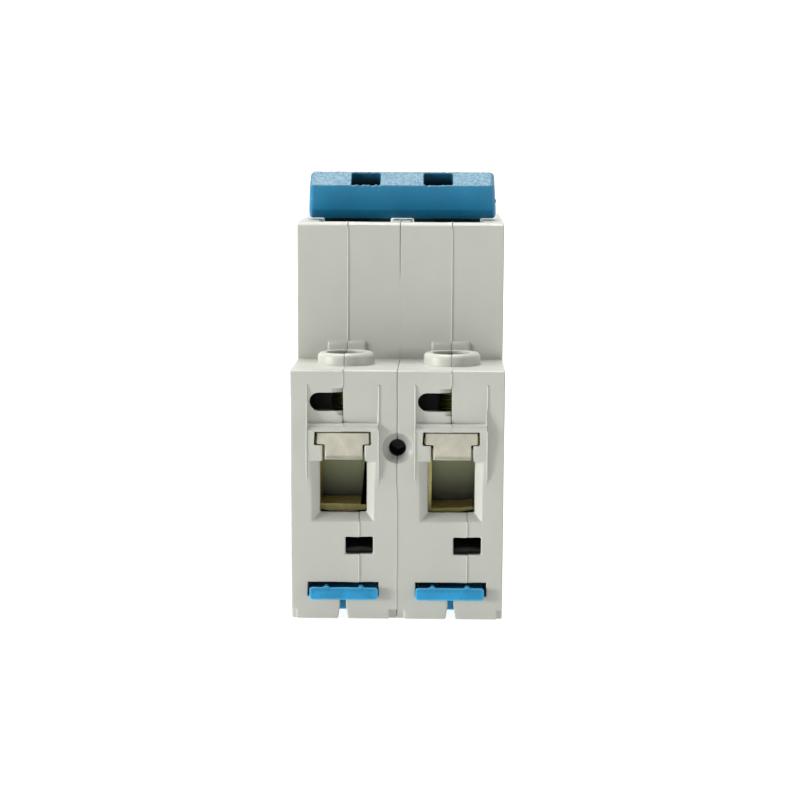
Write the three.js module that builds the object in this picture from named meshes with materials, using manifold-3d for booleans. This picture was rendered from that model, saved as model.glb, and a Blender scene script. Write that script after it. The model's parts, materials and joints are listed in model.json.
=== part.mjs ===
// Two-pole miniature circuit breaker for a 35 mm DIN rail, switched off.
// Millimetres. The breaker stands on its rail side: +Z towards the handle,
// -Y towards the load terminals, X across the two poles.
// The origin is the middle of the footprint, level with the feet.
// Each pole is drawn about its own middle plane and then moved into place.

import * as THREE from 'three';
import { mergeVertices } from 'three/addons/utils/BufferGeometryUtils.js';
import Module from 'manifold-3d';

const wasm = await Module();
wasm.setup();

// ---- Driving dimensions ----

const FIT = 0.3;
const POLE_PITCH = 18;
const POLE_HALF = POLE_PITCH / 2 - 0.12;
const PARTING_HALF_GAP = 0.1;
const SIDE_DRAFT = 0.27;
const WALL = 1.4;
const END_WALL = 1.6;
const CAVITY_HALF = POLE_HALF - WALL;

const LENGTH_HALF = 40.5;
const SHOULDER_Z = 41.9;
const NOSE_HALF = 22.5;
const NOSE_Z = 65.5;
const NOSE_RADIUS = 1.3;
const EDGE_RADIUS = 0.5;
const NOSE_WINDOW = { half: 5.3, along: 9 };
const NOSE_RECESS = { outer: 5.3, inner: 7.3, along: 20.3, depth: 0.75 };

const INNER_SHOULDER = SHOULDER_Z - WALL;
const INNER_LENGTH = LENGTH_HALF - END_WALL;
const INNER_NOSE = NOSE_HALF - WALL;
const CAVITY_FLOOR = 7.4;
const RIB_THICKNESS = 1;
const DUCT_ROOF = 15.9;
const SCREW_LEDGE = { from: 26, low: 38.6, high: 39.3 };
const SIDE_BLOCK = { inner: 7, from: 30, low: 26.4, high: 31.4 };
const PARTITION = { near: 24.2, far: 25.2, ductHalf: 5, ductLow: 9, ductHigh: 15 };

const RAIL_SEAT_Z = 5.5;
const RAIL_HALF = 17.8;
const SEAT_HALF = 16;
const RAIL_RELIEF = 0.3;
const HOOK_REACH = 1.4;
const HOOK_Z = 3.9;
const FOOT_POCKET = { near: 1.6, far: 7.4, high: 5.6 };
const FOOT_NOTCH = { from: 7.75, depth: 0.6, high: 1.5 };

const SCREW_Y = 30.3;
const BOSS = { radius: 4.8, crown: 4.4, straight: 1.5, top: 2 };
const NOSE_PAD = { left: -3.4, right: 3, proud: 0.35, straight: 2.6, top: 3.05 };
const OPENING = { left: -3.87, right: 3.85, low: 17.9, high: 26.7 };
const BEVEL = { left: -5.2, right: 5.1, low: 16.5, depth: 1.5 };
const BLOCK = { left: -6.02, right: 5.94, top: 39.3, step: 33, crest: 31.75, fade: 22.3 };
const BLOCK_FACE = { proud: 0.8, recess: 0.7 };
const T_SLOT = { left: -4.8, right: 4.7, low: 29.4, high: 31.7 };
const T_STEM = { left: -3.4, right: 3.6 };
const SCREW_WAY = { bore: 3.3, shank: 2.65 };
const PEEP = { left: -4.09, z: 36.55, radius: 1.55 };
const SCOOP = { left: -2, low: 34.3, high: 38.8, depth: 1.2 };
const VENT = { left: 0.4, right: 5, low: 11, high: 13.9 };
const JOINT_DISH = { z: 28.9, radius: 2.6, throat: 1.55, deep: 1 };
const JOINT_HOLE = { radius: 1.35, rise: 0.1, deep: 8 };
const JOG = { shift: 2.75, low: 4.5, high: 27.4 };

const CLIP_SLOT = { left: -5.9, right: 5.95, channelHalf: 4.7, ceiling: 6.2, wall: 1.3 };
const CLIP_NOTCH = { foot: 0.85, half: 0.5, waist: 2.2, high: 4.2 };
const CLIP_HEAD = { half: 5.7, low: 3.4, high: 5.5, deep: 0.7, corner: 0.5 };
const CLIP_PLATE = { half: 5.4, low: 4.25, high: 5.2 };

const RIVET_PLACES = [[-18, 60.5], [18, 60.5], [-35.8, 9.9], [35.8, 9.9]];
const RIVET = { radius: 1.4, head: 2.4, headHeight: 0.35, seat: 2.7, seatDepth: 0.9, inset: 0.75 };

const BAR = { left: -3, right: 3.27, low: 27.25, high: 28.3, end: 21.6 };
const BAR_TONGUE = { proud: 0.4, thick: 1.5, lip: 27.05, step: 29.5, high: 31.5, ear: 4.35 };
const BAR_LEG = { near: 17.4, far: 22.8, thick: 1.2 };
const CLAMP_PAD = { near: 26.2, far: 38.2, half: 2.9, low: 26.95 };
const SCREW_HEAD = { low: 39.6, high: 41.6, radius: 3, slotDepth: 1.1 };
const SCREW_SLOTS = [[3.5, 0.45], [0.45, 1.8]];
const SCREW_SHANK = { radius: 2.3, tip: 28.55, chamfer: 0.4 };
const CAGE = { half: 4.7, inner: 3.85, low: 17.6, floor: 18.5, roof: 28.65, high: 30.2 };
const CAGE_LOOP = { corner: 0.6, along: 4 };
const CAGE_COLLAR = { radius: 3.6, hole: 2.7, high: 31 };
const CAGE_HINGE_Z = 29.8;

const HANDLE_PIVOT = { y: 0, z: 54.5 };
const HANDLE_LEAN = 32;
const GRIP = { tip: 21.6, face: 16.35, foot: 14.05, half: 2.25, footHalf: 1.4, width: 16.7, tipWidth: 16.3 };
const GRIP_POCKET = { near: 3.85, far: 8.95, half: 1.85, floor: 17.4 };
const SKIRT = { from: 2.05, to: 13.9, half: 0.9, low: 13.2, high: 14.3 };
const TOGGLE_LEVER = { half: 1.1, width: 3.4, top: 16.6 };
const TIE_PIN = { w: 15.3, radius: 0.5, half: 13.6 };
const HUB = { radius: 10.3, half: 5, sweep: 78, wall: 1.4, core: 3.6, trunnion: 2, trunnionHalf: 7.2 };
const CRANK = { radius: 6.5, angle: 319, half: 1.4, lug: 1.7 };

const ARM_PIVOT = { y: 6, z: 32 };
const ARM_SWING = 24;
const ARM_PIN = { radius: 1, half: 7.2 };
const LINK_EYE = { y: -2, z: 37 };
const LINK_WIRE = { radius: 0.6, side: -3.5, bend: 0.9 };
const CONTACT = { y: -5.9, moving: 1.3, fixed: 1.5 };

const TRIP_PIVOT = { y: -11, z: 36 };
const TRIP_SHAFT = { radius: 1.05, half: 15.9 };
const TRIP_PLATE = { from: -6.6, to: -5.4 };
const COIL = { z: 16, radius: 4.4, wire: 0.9, from: 8.4, to: 18.2, turns: 5 };
const BOBBIN = { bore: 2.3, outer: 3.2, from: 7.1, length: 12.2 };
const YOKE = { left: -6.9, right: 3.8, near: 5.6, far: 20.8, half: 4, thick: 1.1 };
const CHUTE = { from: -22.6, to: -9.6, low: 8.1, high: 21.1, side: 4.9, thick: 0.7 };
const CHUTE_PLATES = { count: 9, from: 9, pitch: 1.4, thick: 0.6 };

// ---- Shape helpers ----

const root = new THREE.Group();

// A closed geometry as a solid that can be joined and cut.
function solid(geometry) {
  const bare = geometry.clone();
  bare.deleteAttribute('normal');
  bare.deleteAttribute('uv');
  const merged = mergeVertices(bare, 1e-4);
  return new wasm.Manifold(new wasm.Mesh({
    numProp: 3,
    vertProperties: new Float32Array(merged.attributes.position.array),
    triVerts: new Uint32Array(merged.index.array),
  }));
}

function toGeometry(shape) {
  const mesh = shape.getMesh();
  const geometry = new THREE.BufferGeometry();
  geometry.setAttribute('position', new THREE.BufferAttribute(new Float32Array(mesh.vertProperties), 3));
  geometry.setIndex(new THREE.BufferAttribute(new Uint32Array(mesh.triVerts), 1));
  return geometry;
}

function join(...shapes) {
  return shapes.reduce((whole, shape) => whole.add(shape));
}

function cut(whole, ...shapes) {
  return shapes.reduce((rest, shape) => rest.subtract(shape), whole);
}

const sorted = (a, b) => [Math.min(a, b), Math.max(a, b)];
const radians = THREE.MathUtils.degToRad;

function boxGeometry(x, y, z) {
  const [[x0, x1], [y0, y1], [z0, z1]] = [sorted(...x), sorted(...y), sorted(...z)];
  const geometry = new THREE.BoxGeometry(x1 - x0, y1 - y0, z1 - z0);
  return geometry.translate((x0 + x1) / 2, (y0 + y1) / 2, (z0 + z1) / 2);
}

const box = (x, y, z) => solid(boxGeometry(x, y, z));

// Corners are [a, b] or [a, b, radius]; a radius rounds that corner.
function outline(corners) {
  const shape = new THREE.Shape();
  corners.forEach(([a, b, radius = 0], i) => {
    const corner = new THREE.Vector2(a, b);
    const before = new THREE.Vector2(...corners.at(i - 1).slice(0, 2));
    const after = new THREE.Vector2(...corners[(i + 1) % corners.length].slice(0, 2));
    const start = corner.clone().add(before.sub(corner).setLength(radius));
    const end = corner.clone().add(after.sub(corner).setLength(radius));
    if (i === 0) shape.moveTo(start.x, start.y);
    else shape.lineTo(start.x, start.y);
    if (radius > 0) shape.quadraticCurveTo(corner.x, corner.y, end.x, end.y);
  });
  shape.closePath();
  return shape;
}

const EXTRUDE_AXES = {
  x: [new THREE.Vector3(0, 1, 0), new THREE.Vector3(0, 0, 1), new THREE.Vector3(1, 0, 0)],
  y: [new THREE.Vector3(1, 0, 0), new THREE.Vector3(0, 0, 1), new THREE.Vector3(0, -1, 0)],
  z: [new THREE.Vector3(1, 0, 0), new THREE.Vector3(0, 1, 0), new THREE.Vector3(0, 0, 1)],
};

// An outline drawn across an axis, drawn out along that axis from one place to another.
function prismGeometry(axis, shape, span, curveSegments = 4) {
  const [low, high] = sorted(...span);
  const settings = { depth: high - low, bevelEnabled: false, curveSegments };
  const geometry = new THREE.ExtrudeGeometry(shape, settings);
  geometry.applyMatrix4(new THREE.Matrix4().makeBasis(...EXTRUDE_AXES[axis]));
  const start = axis === 'y' ? high : low;
  const shift = { x: [start, 0, 0], y: [0, start, 0], z: [0, 0, start] }[axis];
  return geometry.translate(...shift);
}

const prism = (axis, corners, span) => solid(prismGeometry(axis, outline(corners), span));

// A round bar along an axis, centred on the other two coordinates.
function rod(axis, centre, radius, span, segments = 20, endRadius = radius) {
  const [low, high] = sorted(...span);
  const geometry = new THREE.CylinderGeometry(endRadius, radius, high - low, segments);
  const middle = (low + high) / 2;
  if (axis === 'x') geometry.rotateZ(-Math.PI / 2).translate(middle, centre[0], centre[1]);
  if (axis === 'y') geometry.translate(centre[0], middle, centre[1]);
  if (axis === 'z') geometry.rotateX(Math.PI / 2).translate(centre[0], centre[1], middle);
  return solid(geometry);
}

// A box whose two Y ends have their own rectangles, each {left, right, low, high}.
function funnel(nearY, near, farY, far) {
  const geometry = new THREE.BoxGeometry(1, 1, 1);
  const place = geometry.attributes.position;
  for (let i = 0; i < place.count; i += 1) {
    const face = place.getY(i) < 0 === nearY < farY ? near : far;
    const x = place.getX(i) < 0 ? face.left : face.right;
    const z = place.getZ(i) < 0 ? face.low : face.high;
    place.setXYZ(i, x, face === near ? nearY : farY, z);
  }
  return solid(geometry);
}

// A round wire along a curve.
function wire(curve, radius, steps, sides) {
  const section = new THREE.Shape();
  section.absarc(0, 0, radius, 0, Math.PI * 2);
  return new THREE.ExtrudeGeometry(section, { steps, extrudePath: curve, curveSegments: sides / 2 });
}

class Helix extends THREE.Curve {
  constructor(settings) {
    super();
    this.settings = settings;
  }

  getPoint(t, target = new THREE.Vector3()) {
    const { radius, turns, length, start = 0 } = this.settings;
    const angle = start + t * turns * Math.PI * 2;
    return target.set(radius * Math.cos(angle), radius * Math.sin(angle), length * t);
  }
}

// Turns a geometry about a line along X, in degrees, y towards z.
function swing(geometry, pivot, degrees) {
  geometry.translate(0, -pivot.y, -pivot.z);
  geometry.rotateX(radians(degrees));
  return geometry.translate(0, pivot.y, pivot.z);
}

// ---- Materials ----

function material(color, roughness, metalness) {
  return new THREE.MeshStandardMaterial({ color, roughness, metalness });
}

const finishes = {
  housing: material(0xc5c6bc, 0.5, 0),
  handle: material(0x2a7298, 0.4, 0),
  clip: material(0x3391c4, 0.35, 0),
  tinned: material(0xc6c2b2, 0.45, 0.6),
  zinc: material(0xb7a24f, 0.4, 0.9),
  steel: material(0x8d9296, 0.35, 1),
  copper: material(0xb8703f, 0.35, 1),
  brass: material(0xbfa05a, 0.35, 1),
  fibre: material(0x8a8378, 0.7, 0),
  black: material(0x26282a, 0.5, 0),
  cream: material(0xd8d2bd, 0.5, 0),
};

function add(name, geometry, finish, x = 0) {
  const mesh = new THREE.Mesh(geometry, finishes[finish]);
  mesh.name = name;
  mesh.position.x = x;
  root.add(mesh);
}

// ---- Housing ----

const ACROSS_CAVITY = [-CAVITY_HALF, CAVITY_HALF];
const ACROSS_RIBS = [-CAVITY_HALF - 0.5, CAVITY_HALF + 0.5];
const PROUD_CUT = 1;

// The whole outer form of one pole, with draft on its outer side.
function poleBlock(outerSide) {
  const profile = outline([
    [-LENGTH_HALF, 0],
    [-RAIL_HALF, 0],
    [-RAIL_HALF, RAIL_SEAT_Z + RAIL_RELIEF],
    [-SEAT_HALF, RAIL_SEAT_Z + RAIL_RELIEF],
    [-SEAT_HALF, RAIL_SEAT_Z],
    [SEAT_HALF, RAIL_SEAT_Z],
    [SEAT_HALF, RAIL_SEAT_Z + RAIL_RELIEF],
    [RAIL_HALF, RAIL_SEAT_Z + RAIL_RELIEF],
    [RAIL_HALF, HOOK_Z],
    [RAIL_HALF - HOOK_REACH, HOOK_Z],
    [RAIL_HALF - HOOK_REACH, 0],
    [LENGTH_HALF, 0],
    [LENGTH_HALF, SHOULDER_Z, EDGE_RADIUS],
    [NOSE_HALF, SHOULDER_Z],
    [NOSE_HALF, NOSE_Z, NOSE_RADIUS],
    [-NOSE_HALF, NOSE_Z, NOSE_RADIUS],
    [-NOSE_HALF, SHOULDER_Z],
    [-LENGTH_HALF, SHOULDER_Z, EDGE_RADIUS],
  ]);
  const geometry = prismGeometry('x', profile, [-POLE_HALF, POLE_HALF]);
  const place = geometry.attributes.position;
  for (let i = 0; i < place.count; i += 1) {
    const side = Math.sign(place.getX(i));
    const draft = side === outerSide ? SIDE_DRAFT * (1 - place.getZ(i) / NOSE_Z) : 0;
    place.setX(i, place.getX(i) - side * draft);
  }
  return solid(geometry);
}

function poleCavity() {
  const lower = box(ACROSS_CAVITY, [-INNER_LENGTH, INNER_LENGTH], [CAVITY_FLOOR, INNER_SHOULDER]);
  const nose = box(ACROSS_CAVITY, [-INNER_NOSE, INNER_NOSE], [CAVITY_FLOOR, NOSE_Z - WALL]);
  return join(lower, nose);
}

// Ribs, ledges and rivet posts that stand in the cavity of both halves.
function poleRibs() {
  const rooted = 0.5;
  const ribs = [];
  for (const end of [-1, 1]) {
    const near = end * PARTITION.near;
    const far = end * PARTITION.far;
    const through = [near - end, far + end];
    const outerEnd = end * (INNER_LENGTH + rooted);
    const wall = box(ACROSS_RIBS, [near, far], [CAVITY_FLOOR - rooted, INNER_SHOULDER + rooted]);
    const barSlot = box(
      [BAR.left - 2 * FIT, BAR.right + 2 * FIT],
      through,
      [BAR.low - 2 * FIT, BAR.high + FIT + 0.1],
    );
    const duct = box(
      [-PARTITION.ductHalf, PARTITION.ductHalf],
      through,
      [PARTITION.ductLow, PARTITION.ductHigh],
    );
    ribs.push(cut(wall, barSlot, duct));
    const roof = [DUCT_ROOF, DUCT_ROOF + RIB_THICKNESS];
    const ledge = [SCREW_LEDGE.low, INNER_SHOULDER + rooted];
    ribs.push(box(ACROSS_RIBS, [far - end * rooted, outerEnd], roof));
    ribs.push(box(ACROSS_RIBS, [end * SCREW_LEDGE.from, outerEnd], ledge));
    for (const side of [-1, 1]) {
      const across = [side * SIDE_BLOCK.inner, side * (CAVITY_HALF + rooted)];
      ribs.push(box(across, [end * SIDE_BLOCK.from, outerEnd], [SIDE_BLOCK.low, SIDE_BLOCK.high]));
    }
  }
  for (const at of RIVET_PLACES) ribs.push(rod('x', at, RIVET.radius + FIT + RIB_THICKNESS, ACROSS_RIBS, 8));
  const bearings = [[HANDLE_PIVOT, HUB.trunnion + 1.8], [ARM_PIVOT, ARM_PIN.radius + 2]];
  for (const [pivot, radius] of bearings) {
    for (const side of [-1, 1]) {
      const across = [side * (ARM_PIN.half - 2 * FIT), side * (CAVITY_HALF + rooted)];
      ribs.push(rod('x', [pivot.y, pivot.z], radius, across, 10));
    }
  }
  return join(...ribs);
}

// The face of the terminal block, which leans in under its top edge and stands proud below.
function terminalBlock(end) {
  const face = end * LENGTH_HALF;
  const rooted = face - end * 1.2;
  return prism('x', [
    [rooted, BLOCK.step],
    [face - end * BLOCK_FACE.recess, BLOCK.step],
    [face + end * BLOCK_FACE.proud, BLOCK.crest],
    [face, BLOCK.fade],
    [rooted, BLOCK.fade],
  ], [BLOCK.left, BLOCK.right]);
}

// The collar about a screw way, with a small chamfer at its top.
function screwBoss(end) {
  const at = [0, end * SCREW_Y];
  const straight = SHOULDER_Z + BOSS.straight;
  const ring = rod('z', at, BOSS.radius, [SHOULDER_Z - 0.5, straight], 28);
  const crown = rod('z', at, BOSS.radius, [straight, SHOULDER_Z + BOSS.top], 28, BOSS.crown);
  return join(ring, crown);
}

// The low pad at the foot of the nose, behind each screw way.
function nosePad(end) {
  const rooted = end * (NOSE_HALF - 0.5);
  const wall = end * NOSE_HALF;
  const front = end * (NOSE_HALF + NOSE_PAD.proud);
  return prism('x', [
    [rooted, SHOULDER_Z - 0.5],
    [front, SHOULDER_Z - 0.5],
    [front, SHOULDER_Z + NOSE_PAD.straight],
    [wall, SHOULDER_Z + NOSE_PAD.top],
    [rooted, SHOULDER_Z + NOSE_PAD.top],
  ], [NOSE_PAD.left, NOSE_PAD.right]);
}

// The round dished hole that two neighbouring poles share at their joint.
function jointHole(side, end) {
  const x = side * POLE_PITCH / 2;
  const face = end * LENGTH_HALF;
  const slope = (JOINT_DISH.radius - JOINT_DISH.throat) / JOINT_DISH.deep;
  const wide = JOINT_DISH.radius + slope * FIT;
  const radii = end < 0 ? [wide, JOINT_DISH.throat] : [JOINT_DISH.throat, wide];
  const dishSpan = [face + end * FIT, face - end * JOINT_DISH.deep];
  const dish = rod('y', [x, JOINT_DISH.z], radii[0], dishSpan, 28, radii[1]);
  const holeSpan = [face + end, face - end * JOINT_HOLE.deep];
  const hole = rod('y', [x, JOINT_DISH.z + JOINT_HOLE.rise], JOINT_HOLE.radius, holeSpan, 16);
  return join(dish, hole);
}

// The conductor opening, whose mouth spreads towards the face.
function conductorWay(end) {
  const face = end * LENGTH_HALF;
  const overshoot = 2;
  const spread = (overshoot + BEVEL.depth) / BEVEL.depth;
  const mouth = {
    left: OPENING.left + (BEVEL.left - OPENING.left) * spread,
    right: OPENING.right + (BEVEL.right - OPENING.right) * spread,
    low: OPENING.low + (BEVEL.low - OPENING.low) * spread,
    high: OPENING.high,
  };
  const bevel = funnel(face + end * overshoot, mouth, face - end * BEVEL.depth, OPENING);
  const reach = [face + end * overshoot, end * (INNER_LENGTH - 0.5)];
  const way = box([OPENING.left, OPENING.right], reach, [OPENING.low, OPENING.high]);
  return join(bevel, way);
}

// The hole that shows the clamp screw's thread, open on the left of the parting plane.
function peepHole(end) {
  const face = end * LENGTH_HALF;
  const reach = [face + end * 2, end * (INNER_LENGTH - 0.5)];
  const round = rod('y', [PEEP.left, PEEP.z], PEEP.radius, reach, 16);
  const straight = box([PEEP.left, 0], reach, [PEEP.z - PEEP.radius, PEEP.z + PEEP.radius]);
  const scoop = prism('z', [
    [SCOOP.left, face],
    [SCOOP.left, face + end],
    [0, face + end],
    [0, face - end * SCOOP.depth],
  ], [SCOOP.low, SCOOP.high]);
  return join(round, straight, scoop);
}

// Everything cut into one end of a pole.
function endCuts(end) {
  const face = end * LENGTH_HALF;
  const outside = face + end * 2;
  const reach = [outside, end * (INNER_LENGTH - 0.5)];
  const ramp = prism('x', [
    [outside, BLOCK.top],
    [face, BLOCK.top],
    [face - end * BLOCK_FACE.recess, BLOCK.step],
    [outside, BLOCK.step],
  ], [BLOCK.left, BLOCK.right]);
  const slotHead = box([T_SLOT.left, T_SLOT.right], reach, [T_SLOT.low, T_SLOT.high]);
  const slotStem = box([T_STEM.left, T_STEM.right], reach, [OPENING.high - 0.5, T_SLOT.low + 0.5]);
  const at = [0, end * SCREW_Y];
  const bore = rod('z', at, SCREW_WAY.bore, [SCREW_LEDGE.high, SHOULDER_Z + BOSS.top + PROUD_CUT], 24);
  const shank = rod('z', at, SCREW_WAY.shank, [SCREW_LEDGE.low - PROUD_CUT, SCREW_LEDGE.high + 0.5], 16);
  return join(ramp, conductorWay(end), slotHead, slotStem, bore, shank, peepHole(end));
}

// The channel in the load-end foot where the rail clip slides, with its front notch.
function clipChannel() {
  const front = -LENGTH_HALF - PROUD_CUT;
  const behindWall = -LENGTH_HALF + CLIP_SLOT.wall;
  const back = -RAIL_HALF + PROUD_CUT;
  const slot = box([CLIP_SLOT.left, CLIP_SLOT.right], [front, back], [HOOK_Z, CLIP_SLOT.ceiling]);
  const channel = box(
    [-CLIP_SLOT.channelHalf, CLIP_SLOT.channelHalf],
    [behindWall, back],
    [-PROUD_CUT, HOOK_Z + 0.5],
  );
  const { foot, half, waist, high } = CLIP_NOTCH;
  const notch = prism('y', [
    [-foot, -0.1], [foot, -0.1], [half, waist], [half, high], [-half, high], [-half, waist],
  ], [front, behindWall + 0.5]);
  return join(slot, channel, notch);
}

function noseWindow() {
  const across = [-NOSE_WINDOW.half, NOSE_WINDOW.half];
  const along = [-NOSE_WINDOW.along, NOSE_WINDOW.along];
  return box(across, along, [NOSE_Z - WALL - 0.5, NOSE_Z + PROUD_CUT]);
}

// The shallow tray in the top of the nose that the handle's skirts sweep over.
function noseRecess(outerSide) {
  const across = [outerSide * NOSE_RECESS.outer, -outerSide * NOSE_RECESS.inner];
  const along = [-NOSE_RECESS.along, NOSE_RECESS.along];
  return box(across, along, [NOSE_Z - NOSE_RECESS.depth, NOSE_Z + PROUD_CUT]);
}

function rivetWays(outerSide) {
  return join(...RIVET_PLACES.map((at) => {
    const way = rod('x', at, RIVET.radius + FIT, [-POLE_PITCH, POLE_PITCH], 8);
    const seat = [outerSide * (POLE_HALF - RIVET.seatDepth), outerSide * POLE_PITCH];
    return join(way, rod('x', at, RIVET.seat, seat, 16));
  }));
}

function bearingHoles(outerSide) {
  const inward = [0, -outerSide * POLE_PITCH];
  return join(
    rod('x', [HANDLE_PIVOT.y, HANDLE_PIVOT.z], HUB.trunnion + FIT, ACROSS_CAVITY, 10),
    rod('x', [ARM_PIVOT.y, ARM_PIVOT.z], ARM_PIN.radius + FIT, ACROSS_CAVITY, 10),
    rod('x', [TRIP_PIVOT.y, TRIP_PIVOT.z], TRIP_SHAFT.radius + 0.45, inward, 10),
  );
}

// Notches at the foot's front corners and weight-saving pockets at the line end.
function footCuts() {
  const cuts = [];
  for (const side of [-1, 1]) {
    const notchDeep = [-LENGTH_HALF - PROUD_CUT, -LENGTH_HALF + FOOT_NOTCH.depth];
    const notch = [side * FOOT_NOTCH.from, side * POLE_PITCH];
    const pocket = [side * FOOT_POCKET.near, side * FOOT_POCKET.far];
    cuts.push(box(notch, notchDeep, [-PROUD_CUT, FOOT_NOTCH.high]));
    cuts.push(box(pocket, [RAIL_HALF + 3, INNER_LENGTH - 3], [-PROUD_CUT, FOOT_POCKET.high]));
  }
  return join(...cuts);
}

// The space on the left of a pole's parting face, which steps sideways low at the load end.
function leftOfParting(gap) {
  const far = -POLE_PITCH;
  const long = LENGTH_HALF + 10;
  const main = box([far, gap], [-long, long], [-10, NOSE_Z + 10]);
  const step = box([far, JOG.shift + gap], [-long, -PARTITION.near + 1], [JOG.low, JOG.high]);
  return join(main, step);
}

function buildHousing(index, x, outerSide) {
  const inner = -outerSide;
  const form = poleBlock(outerSide);
  const additions = [-1, 1].flatMap((end) => [terminalBlock(end), screwBoss(end), nosePad(end)]);
  let pole = cut(join(form, ...additions), poleCavity());
  pole = pole.add(poleRibs().intersect(form));
  const frontWall = [-LENGTH_HALF - PROUD_CUT, -INNER_LENGTH + PROUD_CUT];
  pole = cut(
    pole,
    endCuts(-1),
    endCuts(1),
    clipChannel(),
    noseWindow(),
    noseRecess(outerSide),
    jointHole(inner, -1),
    jointHole(inner, 1),
    box([VENT.left, VENT.right], frontWall, [VENT.low, VENT.high]),
    rivetWays(outerSide),
    bearingHoles(outerSide),
    footCuts(),
  );
  add(`housing_left_${index}`, toGeometry(pole.intersect(leftOfParting(-PARTING_HALF_GAP))), 'housing', x);
  add(`housing_right_${index}`, toGeometry(pole.subtract(leftOfParting(PARTING_HALF_GAP))), 'housing', x);
}

// ---- Rail clip ----

function buildRailClip(index, x, shift) {
  const front = -LENGTH_HALF - FIT;
  const { half, low, high, deep, corner } = CLIP_HEAD;
  const head = prism(
    'y',
    [[-half, low, corner], [half, low, corner], [half, high, corner], [-half, high, corner]],
    [front - deep, front],
  );
  const plate = box(
    [-CLIP_PLATE.half, CLIP_PLATE.half],
    [front - FIT, -RAIL_HALF - 0.4],
    [CLIP_PLATE.low, CLIP_PLATE.high],
  );
  const ribLow = 1.3;
  const stem = box([-2.2, 2.2], [-35, -31], [0.35, CLIP_PLATE.low + 0.25]);
  const rib = box([-2.2, 2.2], [-35, -RAIL_HALF - 1], [ribLow, CLIP_PLATE.low + 0.25]);
  const beak = prism('x', [
    [-21.4, ribLow], [-16.9, ribLow], [-16.2, 2.2], [-16.2, 3], [-17.4, HOOK_Z], [-21.4, 4.5],
  ], [-4.3, 4.3]);
  const arms = [-1, 1].map((side) => box([side * 3.4, side * 4.2], [-33, -21], [ribLow, 3.6]));
  const nubHalf = 0.3;
  const nubs = [-2.9, 2.9].map((at) => box(
    [at - nubHalf, at + nubHalf],
    [front - deep + 0.1, -LENGTH_HALF + 1],
    [CLIP_HEAD.high - 0.5, CLIP_HEAD.high + 0.25],
  ));
  add(`rail_clip_${index}`, toGeometry(join(head, plate, stem, rib, beak, ...arms, ...nubs)), 'clip', x + shift);
}

// ---- Terminals ----

// A conductor bar whose outer end turns up into a T-shaped tongue.
function buildTerminalBar(name, end, x) {
  const face = end * (LENGTH_HALF + BAR_TONGUE.proud);
  const back = face - end * BAR_TONGUE.thick;
  const { lip, step, high, ear } = BAR_TONGUE;
  const across = [BAR.left, BAR.right];
  const tongue = [
    [BAR.left, lip, 0.3], [BAR.right, lip, 0.3], [BAR.right, step], [ear, step],
    [ear, high], [-ear, high], [-ear, step], [BAR.left, step],
  ];
  const pad = [end * CLAMP_PAD.near, end * CLAMP_PAD.far];
  const parts = [
    prism('y', tongue, [face, back]),
    box(across, [back + end * 0.5, end * BAR.end], [BAR.low, BAR.high]),
    box([-CLAMP_PAD.half, CLAMP_PAD.half], pad, [CLAMP_PAD.low, BAR.low + 0.3]),
  ];
  if (end > 0) {
    const foot = BAR_LEG.far - BAR_LEG.thick;
    parts.push(box(across, [BAR.end, BAR_LEG.far], [foot, BAR.high]));
    parts.push(box(across, [BAR_LEG.near, BAR_LEG.far], [foot, BAR_LEG.far]));
  }
  add(name, toGeometry(join(...parts)), 'tinned', x);
}

function buildTerminalScrew(name, end, x) {
  const at = [0, end * SCREW_Y];
  const { radius, tip, chamfer } = SCREW_SHANK;
  const shank = rod('z', at, radius, [tip + chamfer, SCREW_HEAD.low + 0.2], 16);
  const point = rod('z', at, radius - 0.5, [tip, tip + chamfer], 16, radius);
  const head = rod('z', at, SCREW_HEAD.radius, [SCREW_HEAD.low, SCREW_HEAD.high], 24);
  const slots = SCREW_SLOTS.map(([halfX, halfY]) => box(
    [-halfX, halfX],
    [at[1] - halfY, at[1] + halfY],
    [SCREW_HEAD.high - SCREW_HEAD.slotDepth, SCREW_HEAD.high + PROUD_CUT],
  ));
  add(name, toGeometry(cut(join(shank, point, head), ...slots)), 'zinc', x);
}

// A bent strip loop: conductor plate below, threaded plate above, open at front and back.
function buildCage(name, end, x, { tilt, shift }) {
  const middle = end * SCREW_Y;
  const { half, inner, low, floor, roof, high } = CAGE;
  const { corner, along } = CAGE_LOOP;
  const corners = [
    [shift - half, low, corner], [shift + half, low, corner],
    [shift + half, high, corner], [shift - half, high, corner],
  ];
  const loop = prism('y', corners, [middle - along, middle + along]);
  const mouth = [middle - along - PROUD_CUT, middle + along + PROUD_CUT];
  const hollow = box([shift - inner, shift + inner], mouth, [floor, roof]);
  const collar = rod('z', [0, middle], CAGE_COLLAR.radius, [high - 0.2, CAGE_COLLAR.high], 16);
  const hole = rod('z', [0, middle], CAGE_COLLAR.hole, [roof - PROUD_CUT, CAGE_COLLAR.high + PROUD_CUT], 16);
  const geometry = toGeometry(cut(join(loop, collar), hollow, hole));
  geometry.translate(0, 0, -CAGE_HINGE_Z);
  geometry.rotateY(-radians(tilt));
  geometry.translate(0, 0, CAGE_HINGE_Z);
  add(name, geometry, 'zinc', x);
}

// ---- Handle and toggles ----

// Handle shapes are drawn upright on the pivot and then leaned towards the load end.
const lean = (geometry) => swing(geometry, HANDLE_PIVOT, HANDLE_LEAN);
const upright = (w) => HANDLE_PIVOT.z + w;

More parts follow.
